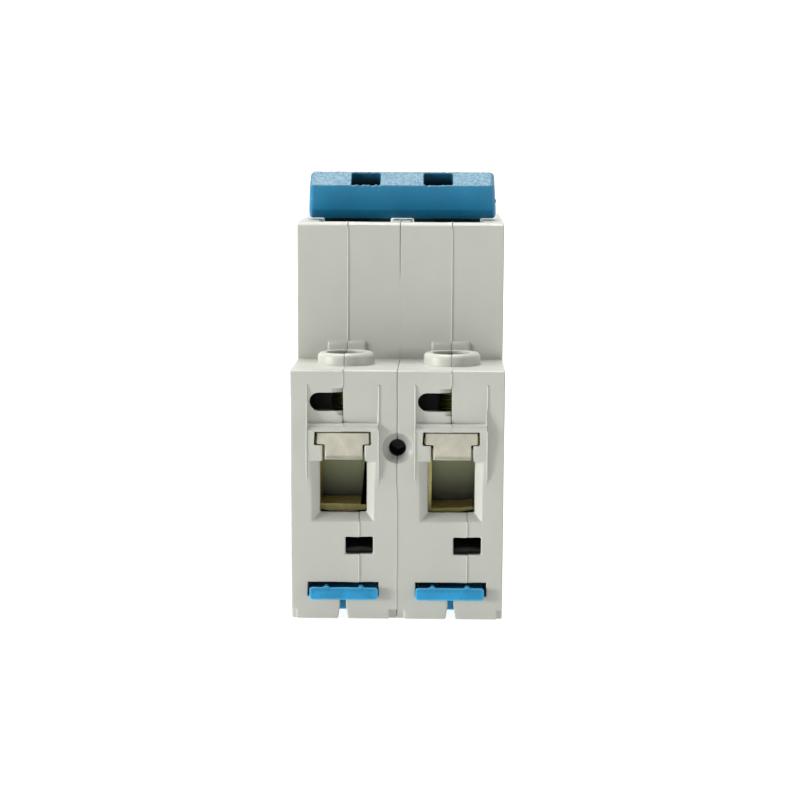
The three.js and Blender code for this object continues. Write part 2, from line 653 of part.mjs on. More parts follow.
function gripBar() {
  const section = [
    [-GRIP.footHalf, upright(GRIP.foot)],
    [GRIP.footHalf, upright(GRIP.foot)],
    [GRIP.half, upright(GRIP.face)],
    [GRIP.half, upright(GRIP.tip), 0.25],
    [-GRIP.half, upright(GRIP.tip), 0.25],
    [-GRIP.half, upright(GRIP.face)],
  ];
  const geometry = prismGeometry('x', outline(section), [-GRIP.width, GRIP.width]);
  const place = geometry.attributes.position;
  const narrowing = (GRIP.width - GRIP.tipWidth) / (GRIP.tip - GRIP.foot);
  for (let i = 0; i < place.count; i += 1) {
    const rise = place.getZ(i) - upright(GRIP.foot);
    place.setX(i, place.getX(i) - Math.sign(place.getX(i)) * narrowing * rise);
  }
  return solid(geometry);
}

function buildTieHandle() {
  let bar = gripBar();
  for (const side of [-1, 1]) {
    const middle = side * POLE_PITCH / 2;
    const skirt = box(
      [side * SKIRT.from, side * SKIRT.to],
      [-SKIRT.half, SKIRT.half],
      [upright(SKIRT.low), upright(SKIRT.high)],
    );
    const pocket = box(
      [side * GRIP_POCKET.near, side * GRIP_POCKET.far],
      [-GRIP_POCKET.half, GRIP_POCKET.half],
      [upright(GRIP_POCKET.floor), upright(GRIP.tip + PROUD_CUT)],
    );
    const socketHalf = TOGGLE_LEVER.width + FIT;
    const socket = box(
      [middle - socketHalf, middle + socketHalf],
      [-TOGGLE_LEVER.half - 0.25, TOGGLE_LEVER.half + 0.25],
      [upright(SKIRT.low - PROUD_CUT), upright(TOGGLE_LEVER.top + FIT)],
    );
    bar = cut(join(bar, skirt), pocket, socket);
  }
  const wayHalf = TIE_PIN.half + 0.4;
  const pinWay = rod('x', [0, upright(TIE_PIN.w)], TIE_PIN.radius + 0.2, [-wayHalf, wayHalf], 12);
  add('tie_handle', lean(toGeometry(cut(bar, pinWay))), 'handle');
  const pin = rod('x', [0, upright(TIE_PIN.w)], TIE_PIN.radius, [-TIE_PIN.half, TIE_PIN.half], 12);
  add('tie_pin', lean(toGeometry(pin)), 'steel');
}

// A drum sector that closes the nose window, with the lever above it and the crank lug below.
function buildToggle(index, x) {
  const across = [-HUB.half, HUB.half];
  const centre = [HANDLE_PIVOT.y, HANDLE_PIVOT.z];
  const sector = new THREE.Shape();
  const reach = radians(HUB.sweep);
  sector.moveTo(HANDLE_PIVOT.y, HANDLE_PIVOT.z - 1);
  sector.absarc(...centre, HUB.radius, Math.PI / 2 - reach, Math.PI / 2 + reach);
  sector.closePath();
  const drum = solid(prismGeometry('x', sector, across, 14));
  const hollow = box([-HUB.half + HUB.wall, HUB.half - HUB.wall], [-4, 4], [upright(-4), upright(6)]);
  const core = rod('x', centre, HUB.core, across, 20);
  const trunnion = rod('x', centre, HUB.trunnion, [-HUB.trunnionHalf, HUB.trunnionHalf], 20);
  const lever = box(
    [-TOGGLE_LEVER.width, TOGGLE_LEVER.width],
    [-TOGGLE_LEVER.half, TOGGLE_LEVER.half],
    [upright(HUB.radius - 0.6), upright(TOGGLE_LEVER.top)],
  );
  const crankAngle = CRANK.angle - HANDLE_LEAN;
  const eye = [
    CRANK.radius * Math.cos(radians(crankAngle)),
    upright(CRANK.radius * Math.sin(radians(crankAngle))),
  ];
  const lugAcross = [-CRANK.half, CRANK.half];
  const arm = boxGeometry(lugAcross, [0, CRANK.radius], [upright(-CRANK.lug), upright(CRANK.lug)]);
  const lug = join(rod('x', eye, CRANK.lug, lugAcross, 16), solid(swing(arm, HANDLE_PIVOT, crankAngle)));
  const pinHole = rod('x', [0, upright(TIE_PIN.w)], TIE_PIN.radius + 0.2, [-6, 6], 12);
  const eyeHole = rod('x', eye, LINK_WIRE.radius + 0.25, [-3, 3], 12);
  const shape = join(cut(drum, hollow), core, trunnion, lever, lug);
  add(`toggle_${index}`, lean(toGeometry(cut(shape, pinHole, eyeHole))), 'handle', x);
}

// A tube along a helix, laid on an axis across the poles.
function buildToggleSpring(index, x) {
  const helix = new Helix({ radius: 2.9, turns: 1.9, length: 1 });
  const coil = wire(helix, 0.22, 18, 6);
  coil.rotateY(Math.PI / 2).translate(-6.35, HANDLE_PIVOT.y, HANDLE_PIVOT.z);
  add(`toggle_spring_${index}`, coil, 'steel', x);
}

// ---- Contact mechanism ----

function turned(point, pivot, degrees) {
  const angle = radians(degrees);
  const y = point.y - pivot.y;
  const z = point.z - pivot.z;
  return {
    y: pivot.y + y * Math.cos(angle) - z * Math.sin(angle),
    z: pivot.z + y * Math.sin(angle) + z * Math.cos(angle),
  };
}

// Arm pieces are drawn closed and then swung open.
const open = (geometry) => swing(geometry, ARM_PIVOT, -ARM_SWING);

function buildContactArm(index, x) {
  const pivot = [ARM_PIVOT.y, ARM_PIVOT.z];
  const bladeAcross = [-1.2, 1.2];
  const blade = prism('x', [
    [6.6, 30], [5, 34.2], [-5.4, 27.6], [-7.6, 25.2], [-7.6, 23.9], [-4.2, 23.9], [-3.2, 25.6],
  ], bladeAcross);
  const tip = rod('z', [0, CONTACT.y], CONTACT.moving, [23.35, 24.4], 16);
  const hub = rod('x', pivot, 2.6, bladeAcross, 20);
  const hole = rod('x', pivot, ARM_PIN.radius + 0.2, [-4, 4], 16);
  add(`moving_contact_${index}`, open(toGeometry(cut(join(blade, tip, hub), hole))), 'copper', x);

  const slotEnd = { y: LINK_EYE.y + 0.66, z: LINK_EYE.z - 1.15 };
  const plate = prism('x', [
    [LINK_EYE.y - 1.9, LINK_EYE.z - 1.2, 0.8], [slotEnd.y, slotEnd.z - 2.1, 0.8], [5, 29.2], [8.8, 31],
    [9.4, 35.4, 0.8], [5.4, 35.4], [LINK_EYE.y + 0.6, LINK_EYE.z + 2.2, 0.8],
  ], [-2.5, -1.5]);
  const slotSteps = [0, 0.5, 1];
  const slot = slotSteps.map((t) => rod('x', [
    LINK_EYE.y + (slotEnd.y - LINK_EYE.y) * t,
    LINK_EYE.z + (slotEnd.z - LINK_EYE.z) * t,
  ], LINK_WIRE.radius + 0.35, [-4, 0], 16));
  add(`contact_carrier_${index}`, open(toGeometry(cut(plate, ...slot, hole))), 'cream', x);

  const pin = rod('x', pivot, ARM_PIN.radius, [-ARM_PIN.half, ARM_PIN.half], 16);
  add(`arm_pin_${index}`, toGeometry(pin), 'steel', x);
}

// The spring that pulls the contact carrier open, anchored behind its pivot.
function buildContactSpring(index, x) {
  const anchor = turned({ y: 9.3, z: 35.2 }, ARM_PIVOT, -ARM_SWING);
  const helix = new Helix({ radius: 1.2, turns: 7, length: 6.4 });
  const coil = wire(helix, 0.22, 42, 4);
  coil.rotateX(-radians(60)).translate(-3.9, anchor.y + 1.2, anchor.z + 1.2);
  add(`contact_spring_${index}`, coil, 'steel', x);
}

// The wire link from the toggle's crank to the contact carrier, bent twice.
function buildLink(index, x) {
  const crankEnd = { y: HANDLE_PIVOT.y + CRANK.radius, z: HANDLE_PIVOT.z };
  const crank = turned(crankEnd, HANDLE_PIVOT, CRANK.angle);
  const eye = turned(LINK_EYE, ARM_PIVOT, -ARM_SWING);
  const corners = [
    [1.8, crank], [LINK_WIRE.side, crank], [LINK_WIRE.side, eye], [-1.45, eye],
  ].map(([u, at]) => new THREE.Vector3(u, at.y, at.z));
  const path = new THREE.CurvePath();
  let from = corners[0];
  for (const i of [1, 2]) {
    const back = corners[i - 1].clone().sub(corners[i]).setLength(LINK_WIRE.bend);
    const onward = corners[i + 1].clone().sub(corners[i]).setLength(LINK_WIRE.bend);
    const before = corners[i].clone().add(back);
    const after = corners[i].clone().add(onward);
    path.add(new THREE.LineCurve3(from, before));
    path.add(new THREE.QuadraticBezierCurve3(before, corners[i], after));
    from = after;
  }
  path.add(new THREE.LineCurve3(from, corners[3]));
  add(`link_${index}`, wire(path, LINK_WIRE.radius, 30, 6), 'steel', x);
}

function buildFixedContact(index, x) {
  const strip = prism('x', [
    [9.2, 8.2], [9.2, 10.4], [8, 10.4], [8, 9.2], [-7.6, 9.2], [-7.6, 21.2], [-3.6, 21.2], [-3.6, 22.2],
    [-8.6, 22.2], [-8.6, 8.2],
  ], [-2.4, 2.4]);
  const tip = rod('z', [0, CONTACT.y], CONTACT.fixed, [22, 23], 16);
  add(`fixed_contact_${index}`, toGeometry(join(strip, tip)), 'copper', x);
}

// A stack of splitter plates between two side boards.
function buildArcChute(index, x) {
  const boards = [-1, 1].map((side) => box(
    [side * CHUTE.side, side * (CHUTE.side + CHUTE.thick)],
    [CHUTE.from, CHUTE.to],
    [CHUTE.low, CHUTE.high],
  ));
  const across = [-CHUTE.side - FIT, CHUTE.side + FIT];
  const plates = [];
  for (let i = 0; i < CHUTE_PLATES.count; i += 1) {
    const z = CHUTE_PLATES.from + i * CHUTE_PLATES.pitch;
    plates.push(box(across, [CHUTE.from + 0.4, CHUTE.to - 0.6], [z, z + CHUTE_PLATES.thick]));
  }
  add(`arc_chute_${index}`, toGeometry(join(...boards, ...plates)), 'fibre', x);
}

// ---- Trip unit ----

function buildMagnet(index, x) {
  const { z, radius, from, to, turns } = COIL;
  const helix = new Helix({ radius, turns, length: to - from, start: Math.PI / 2 });
  const coil = wire(helix, COIL.wire, turns * 11, 6);
  coil.rotateX(-Math.PI / 2).translate(0, from, z);
  add(`magnet_coil_${index}`, coil, 'copper', x);

  const section = [
    [BOBBIN.bore, 0], [BOBBIN.outer, 0], [BOBBIN.outer, BOBBIN.length], [BOBBIN.bore, BOBBIN.length],
    [BOBBIN.bore, 0],
  ];
  const tube = new THREE.LatheGeometry(section.map(([r, y]) => new THREE.Vector2(r, y)), 20);
  add(`coil_bobbin_${index}`, toGeometry(solid(tube.translate(0, BOBBIN.from, z))), 'black', x);

  const frame = cut(
    box([YOKE.left, YOKE.right], [YOKE.near, YOKE.far], [z - YOKE.half, z + YOKE.half]),
    box(
      [YOKE.left + 1, YOKE.right + 1],
      [YOKE.near + YOKE.thick, YOKE.far - YOKE.thick],
      [z - YOKE.half - PROUD_CUT, z + YOKE.half + PROUD_CUT],
    ),
    rod('y', [0, z], 1.3, [YOKE.near - PROUD_CUT, YOKE.near + YOKE.thick + PROUD_CUT], 16),
  );
  add(`magnet_yoke_${index}`, toGeometry(frame), 'steel', x);

  const core = rod('y', [0, z], BOBBIN.bore - 0.4, [10, 17], 20);
  const striker = rod('y', [0, z], 0.8, [3.8, 10.2], 12);
  add(`plunger_${index}`, toGeometry(join(core, striker)), 'brass', x);
}

function buildTripLever(index, x) {
  const pivot = [TRIP_PIVOT.y, TRIP_PIVOT.z];
  const plate = [TRIP_PLATE.from, TRIP_PLATE.to];
  const lower = prism('x', [[-12.6, 34.4], [1.8, 14], [3.4, 13.6], [3.4, 18.4], [-9.4, 37.4]], plate);
  const upper = prism('x', [[-12.8, 35], [-9.6, 37.2], [-16.6, 47.4], [-18.2, 47.4], [-18.2, 45.6]], plate);
  const hub = rod('x', pivot, 2.6, [TRIP_PLATE.from, TRIP_PLATE.from + 3], 20);
  const strikeTab = box([TRIP_PLATE.to - 0.4, 1.6], [2.2, 3.4], [13.6, 18.4]);
  const heatTab = box([TRIP_PLATE.to - 0.4, 2], [-18.2, -17], [45.6, 47.4]);
  const hole = rod('x', pivot, TRIP_SHAFT.radius + 0.25, [-9, 0], 16);
  add(`trip_lever_${index}`, toGeometry(cut(join(lower, upper, hub, strikeTab, heatTab), hole)), 'cream', x);
}

function buildBimetal(index, x) {
  const seat = BAR.high + FIT;
  const strip = prism('x', [
    [-23.8, seat], [-19.2, seat], [-19.2, 48], [-20, 48], [-20, seat + 1], [-23.8, seat + 1],
  ], [-2.6, 2.6]);
  add(`bimetal_${index}`, toGeometry(strip), 'brass', x);

  const screwZ = 34;
  const head = rod('y', [0, screwZ], 1.7, [-23.8, -22.6], 16);
  const shank = rod('y', [0, screwZ], 1.1, [-23, -20.3], 12);
  const slot = box([-3, 3], [-25, -23.4], [screwZ - 0.25, screwZ + 0.25]);
  add(`calibration_screw_${index}`, toGeometry(cut(join(head, shank), slot)), 'brass', x);
}

// The flexible lead from the bimetal round the trip lever to the moving contact.
function buildBraid(index, x) {
  const route = [
    [0, -18.5, 31.6], [1.5, -17.2, 31.2], [4.6, -14.4, 31], [5.3, -9, 32], [5.3, -2.5, 33.6],
    [5, 1.6, 33.2], [3.6, 3.7, 32], [1.65, 3.8, 31.5],
  ].map((point) => new THREE.Vector3(...point));
  add(`braid_${index}`, wire(new THREE.CatmullRomCurve3(route), 0.9, 20, 6), 'copper', x);
}

// ---- Assembly ----

// All cages are fully lowered; each pair sits in its pole with its own slack.
const poles = [
  { index: 1, x: -POLE_PITCH / 2, outerSide: -1, clipShift: 0.15, cage: { tilt: 0, shift: -0.27 } },
  { index: 2, x: POLE_PITCH / 2, outerSide: 1, clipShift: -0.15, cage: { tilt: 2.5, shift: 0 } },
];

for (const { index, x, outerSide, clipShift, cage } of poles) {
  buildHousing(index, x, outerSide);
  buildRailClip(index, x, clipShift);
  for (const [place, end] of [['load', -1], ['line', 1]]) {
    buildTerminalBar(`${place}_bar_${index}`, end, x);
    buildTerminalScrew(`${place}_screw_${index}`, end, x);
    buildCage(`${place}_cage_${index}`, end, x, cage);
  }
  buildToggle(index, x);
  buildToggleSpring(index, x);
  buildContactArm(index, x);
  buildContactSpring(index, x);
  buildLink(index, x);
  buildFixedContact(index, x);
  buildArcChute(index, x);
  buildMagnet(index, x);
  buildTripLever(index, x);
  buildBimetal(index, x);
  buildBraid(index, x);
}

buildTieHandle();

const shaftSpan = [-TRIP_SHAFT.half, TRIP_SHAFT.half];
const shaft = rod('x', [TRIP_PIVOT.y, TRIP_PIVOT.z], TRIP_SHAFT.radius, shaftSpan, 16);
add('trip_shaft', toGeometry(shaft), 'steel');

RIVET_PLACES.forEach((at, i) => {
  const end = POLE_PITCH - RIVET.inset;
  const shank = rod('x', at, RIVET.radius, [-end, end], 8);
  const heads = [-1, 1].map((side) => rod(
    'x', at, RIVET.head, [side * (end - 0.05), side * (end + RIVET.headHeight)], 16,
  ));
  add(`rivet_${i + 1}`, toGeometry(join(shank, ...heads)), 'steel');
});

export default root;
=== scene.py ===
import json
import math

import bmesh
import bpy
from mathutils import Matrix, Vector, noise


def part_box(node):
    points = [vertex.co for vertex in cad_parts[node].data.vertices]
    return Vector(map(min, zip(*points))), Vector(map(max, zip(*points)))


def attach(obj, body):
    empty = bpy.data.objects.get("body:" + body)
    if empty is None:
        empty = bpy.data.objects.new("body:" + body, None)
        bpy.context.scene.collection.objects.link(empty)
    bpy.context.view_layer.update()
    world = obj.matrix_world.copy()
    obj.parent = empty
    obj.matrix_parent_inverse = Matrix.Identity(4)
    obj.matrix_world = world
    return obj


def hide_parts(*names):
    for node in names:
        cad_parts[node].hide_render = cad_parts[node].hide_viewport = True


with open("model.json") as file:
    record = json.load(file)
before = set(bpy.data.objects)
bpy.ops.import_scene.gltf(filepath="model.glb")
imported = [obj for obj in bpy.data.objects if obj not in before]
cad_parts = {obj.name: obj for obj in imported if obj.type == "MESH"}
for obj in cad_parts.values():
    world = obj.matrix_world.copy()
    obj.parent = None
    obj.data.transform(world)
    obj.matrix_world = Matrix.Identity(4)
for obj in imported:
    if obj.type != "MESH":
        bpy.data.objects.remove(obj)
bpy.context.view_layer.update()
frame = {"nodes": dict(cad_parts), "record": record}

MM = 0.001
POLES = (1, 2)
ENDS = {"load": -1, "line": 1}
POLE_PITCH = 18
NODES = frame["nodes"]
SLOT_OF = {row["node"]: row["material_slot"] for row in frame["record"]["subparts"]}
BODY_OF = {
    node: body
    for body, members in frame["record"]["behaviour"]["bodies"].items()
    for node in members
}


def pole_x(index):
    """The middle plane of a pole, in millimetres."""
    return (index - 1.5) * POLE_PITCH


# ---- Camera, light and floor ----


def add_camera():
    yaw, pitch, roll = (math.radians(a) for a in (-1.3144, 7.2242, 0.2166))
    forward = Vector((
        math.sin(yaw) * math.cos(pitch),
        math.cos(yaw) * math.cos(pitch),
        -math.sin(pitch),
    ))
    level = Vector((math.cos(yaw), -math.sin(yaw), 0))
    raised = level.cross(forward)
    right = math.cos(roll) * level + math.sin(roll) * raised
    up = math.cos(roll) * raised - math.sin(roll) * level
    data = bpy.data.cameras.new("camera")
    data.sensor_width = 36
    data.lens = 94.85
    data.clip_start = 0.01
    camera = bpy.data.objects.new("camera", data)
    camera.matrix_world = Matrix((
        (right.x, up.x, -forward.x, 0.008356),
        (right.y, up.y, -forward.y, -0.386087),
        (right.z, up.z, -forward.z, 0.080803),
        (0, 0, 0, 1),
    ))
    bpy.context.scene.collection.objects.link(camera)
    bpy.context.scene.camera = camera


def add_sun(name, towards, strength, softness, colour=(1, 1, 1)):
    """A distant lamp; towards points from the breaker to the light."""
    data = bpy.data.lights.new(name, "SUN")
    data.energy = strength
    data.angle = math.radians(softness)
    data.color = colour
    light = bpy.data.objects.new(name, data)
    light.rotation_euler = (-Vector(towards)).to_track_quat("-Z", "Y").to_euler()
    bpy.context.scene.collection.objects.link(light)


def add_studio():
    add_sun("key_light", (-0.94, -0.34, 0.08), 4.1, 18, (1.0, 0.995, 0.98))
    add_sun("fill_light", (0.94, -0.34, 0.10), 0.8, 25)
    add_sun("front_light", (-0.05, -0.99, 0.12), 0.28, 20)
    add_sun("overhead_light", (-0.08, 0.15, 0.98), 4.5, 40)
    world = bpy.data.worlds.new("studio")
    world.use_nodes = True
    background = world.node_tree.nodes["Background"]
    background.inputs["Color"].default_value = (1, 1, 1, 1)
    background.inputs["Strength"].default_value = 0.15
    bpy.context.scene.world = world
    bpy.context.scene.view_settings.view_transform = "Standard"


def add_floor(material):
    """A flat floor that curves up into a wall well behind the breaker."""
    half_width, front, turn, radius, top = 3.0, -2.0, 1.6, 0.6, 2.4
    profile = [(front, 0.0), (turn, 0.0)]
    steps = 16
    for i in range(1, steps + 1):
        angle = math.pi / 2 * i / steps
        profile.append((turn + radius * math.sin(angle), radius * (1 - math.cos(angle))))
    profile.append((turn + radius, top))
    vertices = [(x, y, z) for y, z in profile for x in (-half_width, half_width)]
    faces = [(2 * i, 2 * i + 1, 2 * i + 3, 2 * i + 2) for i in range(len(profile) - 1)]
    mesh = bpy.data.meshes.new("floor")
    mesh.from_pydata(vertices, [], faces)
    mesh.shade_smooth()
    mesh.materials.append(material)
    floor = bpy.data.objects.new("floor", mesh)
    bpy.context.scene.collection.objects.link(floor)


# ---- Materials ----


class Recipe:
    """A node material built step by step on one Principled shader."""

    def __init__(self, name):
        self.material = bpy.data.materials.new(name)
        self.material.use_nodes = True
        self.tree = self.material.node_tree
        self.shader = self.tree.nodes["Principled BSDF"]
        self.place = self.add("ShaderNodeTexCoord").outputs["Object"]

    def add(self, kind, links=None, values=None, **settings):
        node = self.tree.nodes.new(kind)
        for key, value in settings.items():
            setattr(node, key, value)
        for key, value in (values or {}).items():
            node.inputs[key].default_value = value
        for key, source in (links or {}).items():
            self.tree.links.new(source, node.inputs[key])
        return node

    def link(self, source, socket):
        self.tree.links.new(source, self.shader.inputs[socket])

    def set(self, **values):
        for key, value in values.items():
            self.shader.inputs[key.replace("_", " ")].default_value = value

    def noise(self, size, detail=4, roughness=0.5, stretch=None):
        """Noise whose features are about size metres across."""
        place = self.place
        if stretch:
            place = self.add("ShaderNodeMapping", {"Vector": place}, {"Scale": stretch}).outputs[0]
        values = {"Scale": 1 / size, "Detail": detail, "Roughness": roughness}
        return self.add("ShaderNodeTexNoise", {"Vector": place}, values).outputs["Fac"]

    def remap(self, source, low, high, start=0.3, end=0.7):
        values = {"From Min": start, "From Max": end, "To Min": low, "To Max": high}
        return self.add("ShaderNodeMapRange", {"Value": source}, values).outputs["Result"]

    def blend(self, factor, first, second, kind="MIX"):
        """Mixes two colours; each is a socket or an (r, g, b)."""
        node = self.add("ShaderNodeMix", {"Factor": factor} if not isinstance(factor, float) else None,
                        data_type="RGBA", blend_type=kind)
        if isinstance(factor, float):
            node.inputs["Factor"].default_value = factor
        for socket, value in ((6, first), (7, second)):
            if isinstance(value, tuple):
                node.inputs[socket].default_value = (*value, 1)
            else:
                self.tree.links.new(value, node.inputs[socket])
        return node.outputs[2]

    def bump(self, height, distance, strength=1.0, below=None):
        links = {"Height": height}
        if below is not None:
            links["Normal"] = below
        values = {"Distance": distance, "Strength": strength}
        return self.add("ShaderNodeBump", links, values).outputs["Normal"]

    def edges(self, low=0.5, high=0.6):
        """About 1 on convex edges and 0 on flats."""
        pointiness = self.add("ShaderNodeNewGeometry").outputs["Pointiness"]
        return self.remap(pointiness, 0.0, 1.0, low, high)


def shade(colour, factor):
    return tuple(min(1.0, c * factor) for c in colour)


# Near-black painted shade for the arc vents, peep holes and joint hole.
CAVITY_SHADE = (0.006, 0.006, 0.005)
JOINT_BOSS_Z = 28.9
LEAN = math.radians(32)
HANDLE_PIVOT_Z = 54.5


def housing_plastic(name, base):
    """Pale grey moulding with faint flow marks, specks and a fine sparked grain, with painted shade in the
    conductor chambers, vents, peep holes and joint dish.
    """
    recipe = Recipe(name)
    clouds = recipe.remap(recipe.noise(9 * MM, 5), 0, 1)
    cloudy = recipe.blend(clouds, shade(base, 0.965), shade(base, 1.03))
    flow = recipe.noise(2.2 * MM, 6, 0.6, (1, 1, 0.35))
    streaked = recipe.blend(recipe.remap(flow, 0, 0.35), cloudy, shade(base, 0.94))
    specks = recipe.remap(recipe.noise(0.55 * MM, 2), 0, 0.5, 0.74, 0.80)
    colour = recipe.blend(specks, streaked, shade(base, 0.60))
    height, along = depth_inside(recipe)
    # Painted shade in the conductor chambers: dark low down, lighter higher up.
    rise = recipe.remap(height, 0, 1, 18.5 * MM, 26.5 * MM)
    chamber_shade = recipe.blend(rise, (0.045, 0.05, 0.028), (0.70, 0.80, 0.49))
    colour = recipe.blend(painted_chamber_shade(recipe, height, along), colour, chamber_shade)
    # Vents and peep holes painted near-black: painted shade.
    colour = recipe.blend(painted_cavity_shade(recipe, height, along), colour, CAVITY_SHADE)
    from_joint = from_joint_axis(recipe)
    # Painted shade: the joint's dish darker and its hole near-black.
    dish = below_face(recipe, from_joint, 2.55 * MM, along, 40.4 * MM)
    colour = recipe.blend(dish, colour, shade(base, 0.66))
    hole = below_face(recipe, from_joint, 1.4 * MM, along, 39.8 * MM)
    colour = recipe.blend(hole, colour, CAVITY_SHADE)
    recipe.link(colour, "Base Color")
    recipe.link(recipe.remap(recipe.noise(1.2 * MM, 5), 0.40, 0.56), "Roughness")
    grain = recipe.bump(recipe.noise(0.16 * MM, 3), 0.012 * MM, 0.7)
    waves = recipe.bump(recipe.noise(4 * MM, 2), 0.05 * MM, 0.5, grain)
    recipe.link(waves, "Normal")
    recipe.set(IOR=1.5)
    return recipe.material


def within(recipe, value, low, high, fade):
    """1 where low < value < high, fading to 0 over fade."""
    rise = recipe.remap(value, 0, 1, low - fade, low)
    fall = recipe.remap(value, 1, 0, high, high + fade)
    return recipe.add("ShaderNodeMath", {0: rise, 1: fall}, operation="MULTIPLY").outputs[0]


def depth_inside(recipe):
    """The place's height and its distance along; the outer side walls count as far beyond the ends."""
    split = recipe.add("ShaderNodeSeparateXYZ", {0: recipe.place})
    along = recipe.add("ShaderNodeMath", {0: split.outputs["Y"]}, operation="ABSOLUTE").outputs[0]
    across = recipe.add("ShaderNodeMath", {0: split.outputs["X"]}, operation="ABSOLUTE").outputs[0]
    on_side = recipe.remap(across, 0, 1, 16.6 * MM, 16.8 * MM)
    beyond = recipe.add("ShaderNodeMath", {0: along, 1: on_side}, operation="ADD").outputs[0]
    return split.outputs["Z"], beyond


def from_joint_axis(recipe):
    """How far a place is from the axis of the joining holes between the poles."""
    axis = {1: (0, 0, JOINT_BOSS_Z * MM)}
    offset = recipe.add("ShaderNodeVectorMath", {0: recipe.place}, axis, operation="SUBTRACT").outputs[0]
    flat = recipe.add("ShaderNodeVectorMath", {0: offset}, {1: (1, 0, 1)}, operation="MULTIPLY").outputs[0]
    return recipe.add("ShaderNodeVectorMath", {0: flat}, operation="LENGTH").outputs["Value"]


def below_face(recipe, distance, radius, along, face):
    """1 inside a radius and behind a face; marks the joint's dish and hole for painted shade."""
    inside = recipe.remap(distance, 1, 0, radius, radius + 0.12 * MM)
    behind = recipe.remap(along, 1, 0, face, face + 0.1 * MM)
    return recipe.add("ShaderNodeMath", {0: inside, 1: behind}, operation="MULTIPLY").outputs[0]


def painted_chamber_shade(recipe, height, along):
    """Where the plastic round each conductor gets painted shade, dark low down and pale olive higher up.
    """
    deep = recipe.remap(along, 1, 0, 38.2 * MM, 39.1 * MM)
    level = within(recipe, height, 16.5 * MM, 31.6 * MM, 0.3 * MM)
    return recipe.add("ShaderNodeMath", {0: deep, 1: level}, operation="MULTIPLY").outputs[0]


def painted_cavity_shade(recipe, height, along):
    """Painted shade: near-black inside the arc vents and behind the peep holes."""
    deep = recipe.remap(along, 1, 0, 38.9 * MM, 40.2 * MM)
    vents = within(recipe, height, 8.0 * MM, 15.5 * MM, 0.3 * MM)
    peeps = recipe.add("ShaderNodeMath", {
        0: within(recipe, height, 33.4 * MM, 38.5 * MM, 0.1 * MM),
        1: recipe.remap(along, 1, 0, 38.6 * MM, 39.2 * MM),
    }, operation="MULTIPLY").outputs[0]
    vents = recipe.add("ShaderNodeMath", {0: vents, 1: deep}, operation="MULTIPLY").outputs[0]
    return recipe.add("ShaderNodeMath", {0: vents, 1: peeps}, operation="ADD").outputs[0]


def handle_plastic(name, base):
    recipe = Recipe(name)
    clouds = recipe.remap(recipe.noise(5 * MM, 5), 0, 1)
    cloudy = recipe.blend(clouds, shade(base, 0.88), shade(base, 1.10))
    fine = recipe.blend(recipe.remap(recipe.noise(0.5 * MM, 5, 0.7), 0, 0.5), cloudy, shade(base, 1.22))
    scuffs = recipe.remap(recipe.noise(1.6 * MM, 6, 0.7, (0.3, 1, 1)), 0, 0.45, 0.62, 0.75)
    scuffed = recipe.blend(scuffs, fine, shade(base, 1.6))
    # Convex edges painted lighter: a painted edge highlight.
    highlit_edges = recipe.blend(recipe.remap(recipe.edges(0.52, 0.62), 0, 0.5, 0, 1), scuffed, shade(base, 2.0))
    recipe.link(highlit_edges, "Base Color")
    recipe.link(recipe.remap(recipe.noise(0.9 * MM, 5), 0.34, 0.52), "Roughness")
    grain = recipe.bump(recipe.noise(0.22 * MM, 3), 0.012 * MM, 0.8)
    recipe.link(recipe.bump(recipe.noise(3 * MM, 2), 0.05 * MM, 0.4, grain), "Normal")
    return recipe.material


def stippled_tip():
    """The eroded face of the grip, whose pits catch the light."""
    recipe = Recipe("handle_tip")
    low, high = (0.020, 0.110, 0.18), (0.125, 0.265, 0.35)
    pits = recipe.noise(0.42 * MM, 5, 0.65)
    colour = recipe.blend(recipe.remap(pits, 0, 1, 0.34, 0.64), low, high)
    cloudy = recipe.blend(recipe.remap(recipe.noise(3 * MM, 3), 0, 0.5), colour, (0.045, 0.18, 0.26))
    recipe.link(cloudy, "Base Color")
    recipe.link(recipe.remap(pits, 0.65, 0.38), "Roughness")
    recipe.link(recipe.bump(pits, 0.08 * MM, 0.8), "Normal")
    return recipe.material


def pocket_shade():
    """Painted shade in the grip's pockets and under the grip: darker towards the pocket floors, with a
    random darker mottle.
    """
    recipe = Recipe("handle_shaded")
    along_grip = (0, -math.sin(LEAN), math.cos(LEAN))
    rise = recipe.add(
        "ShaderNodeVectorMath", {0: recipe.place}, {1: along_grip}, operation="DOT_PRODUCT",
    ).outputs["Value"]
    pivot_rise = HANDLE_PIVOT_Z * math.cos(LEAN)
    span = ((pivot_rise + 18.4) * MM, (pivot_rise + 20.6) * MM)
    colour = recipe.blend(recipe.remap(rise, 0, 1, *span), (0.002, 0.005, 0.009), (0.006, 0.085, 0.150))
    dirt = recipe.remap(recipe.noise(0.8 * MM, 4), 0, 0.5)
    recipe.link(recipe.blend(dirt, colour, (0.004, 0.02, 0.035)), "Base Color")
    recipe.link(recipe.remap(recipe.noise(0.6 * MM, 4), 0.45, 0.62), "Roughness")
    recipe.link(recipe.bump(recipe.noise(0.25 * MM, 3), 0.03 * MM, 0.6), "Normal")
    return recipe.material


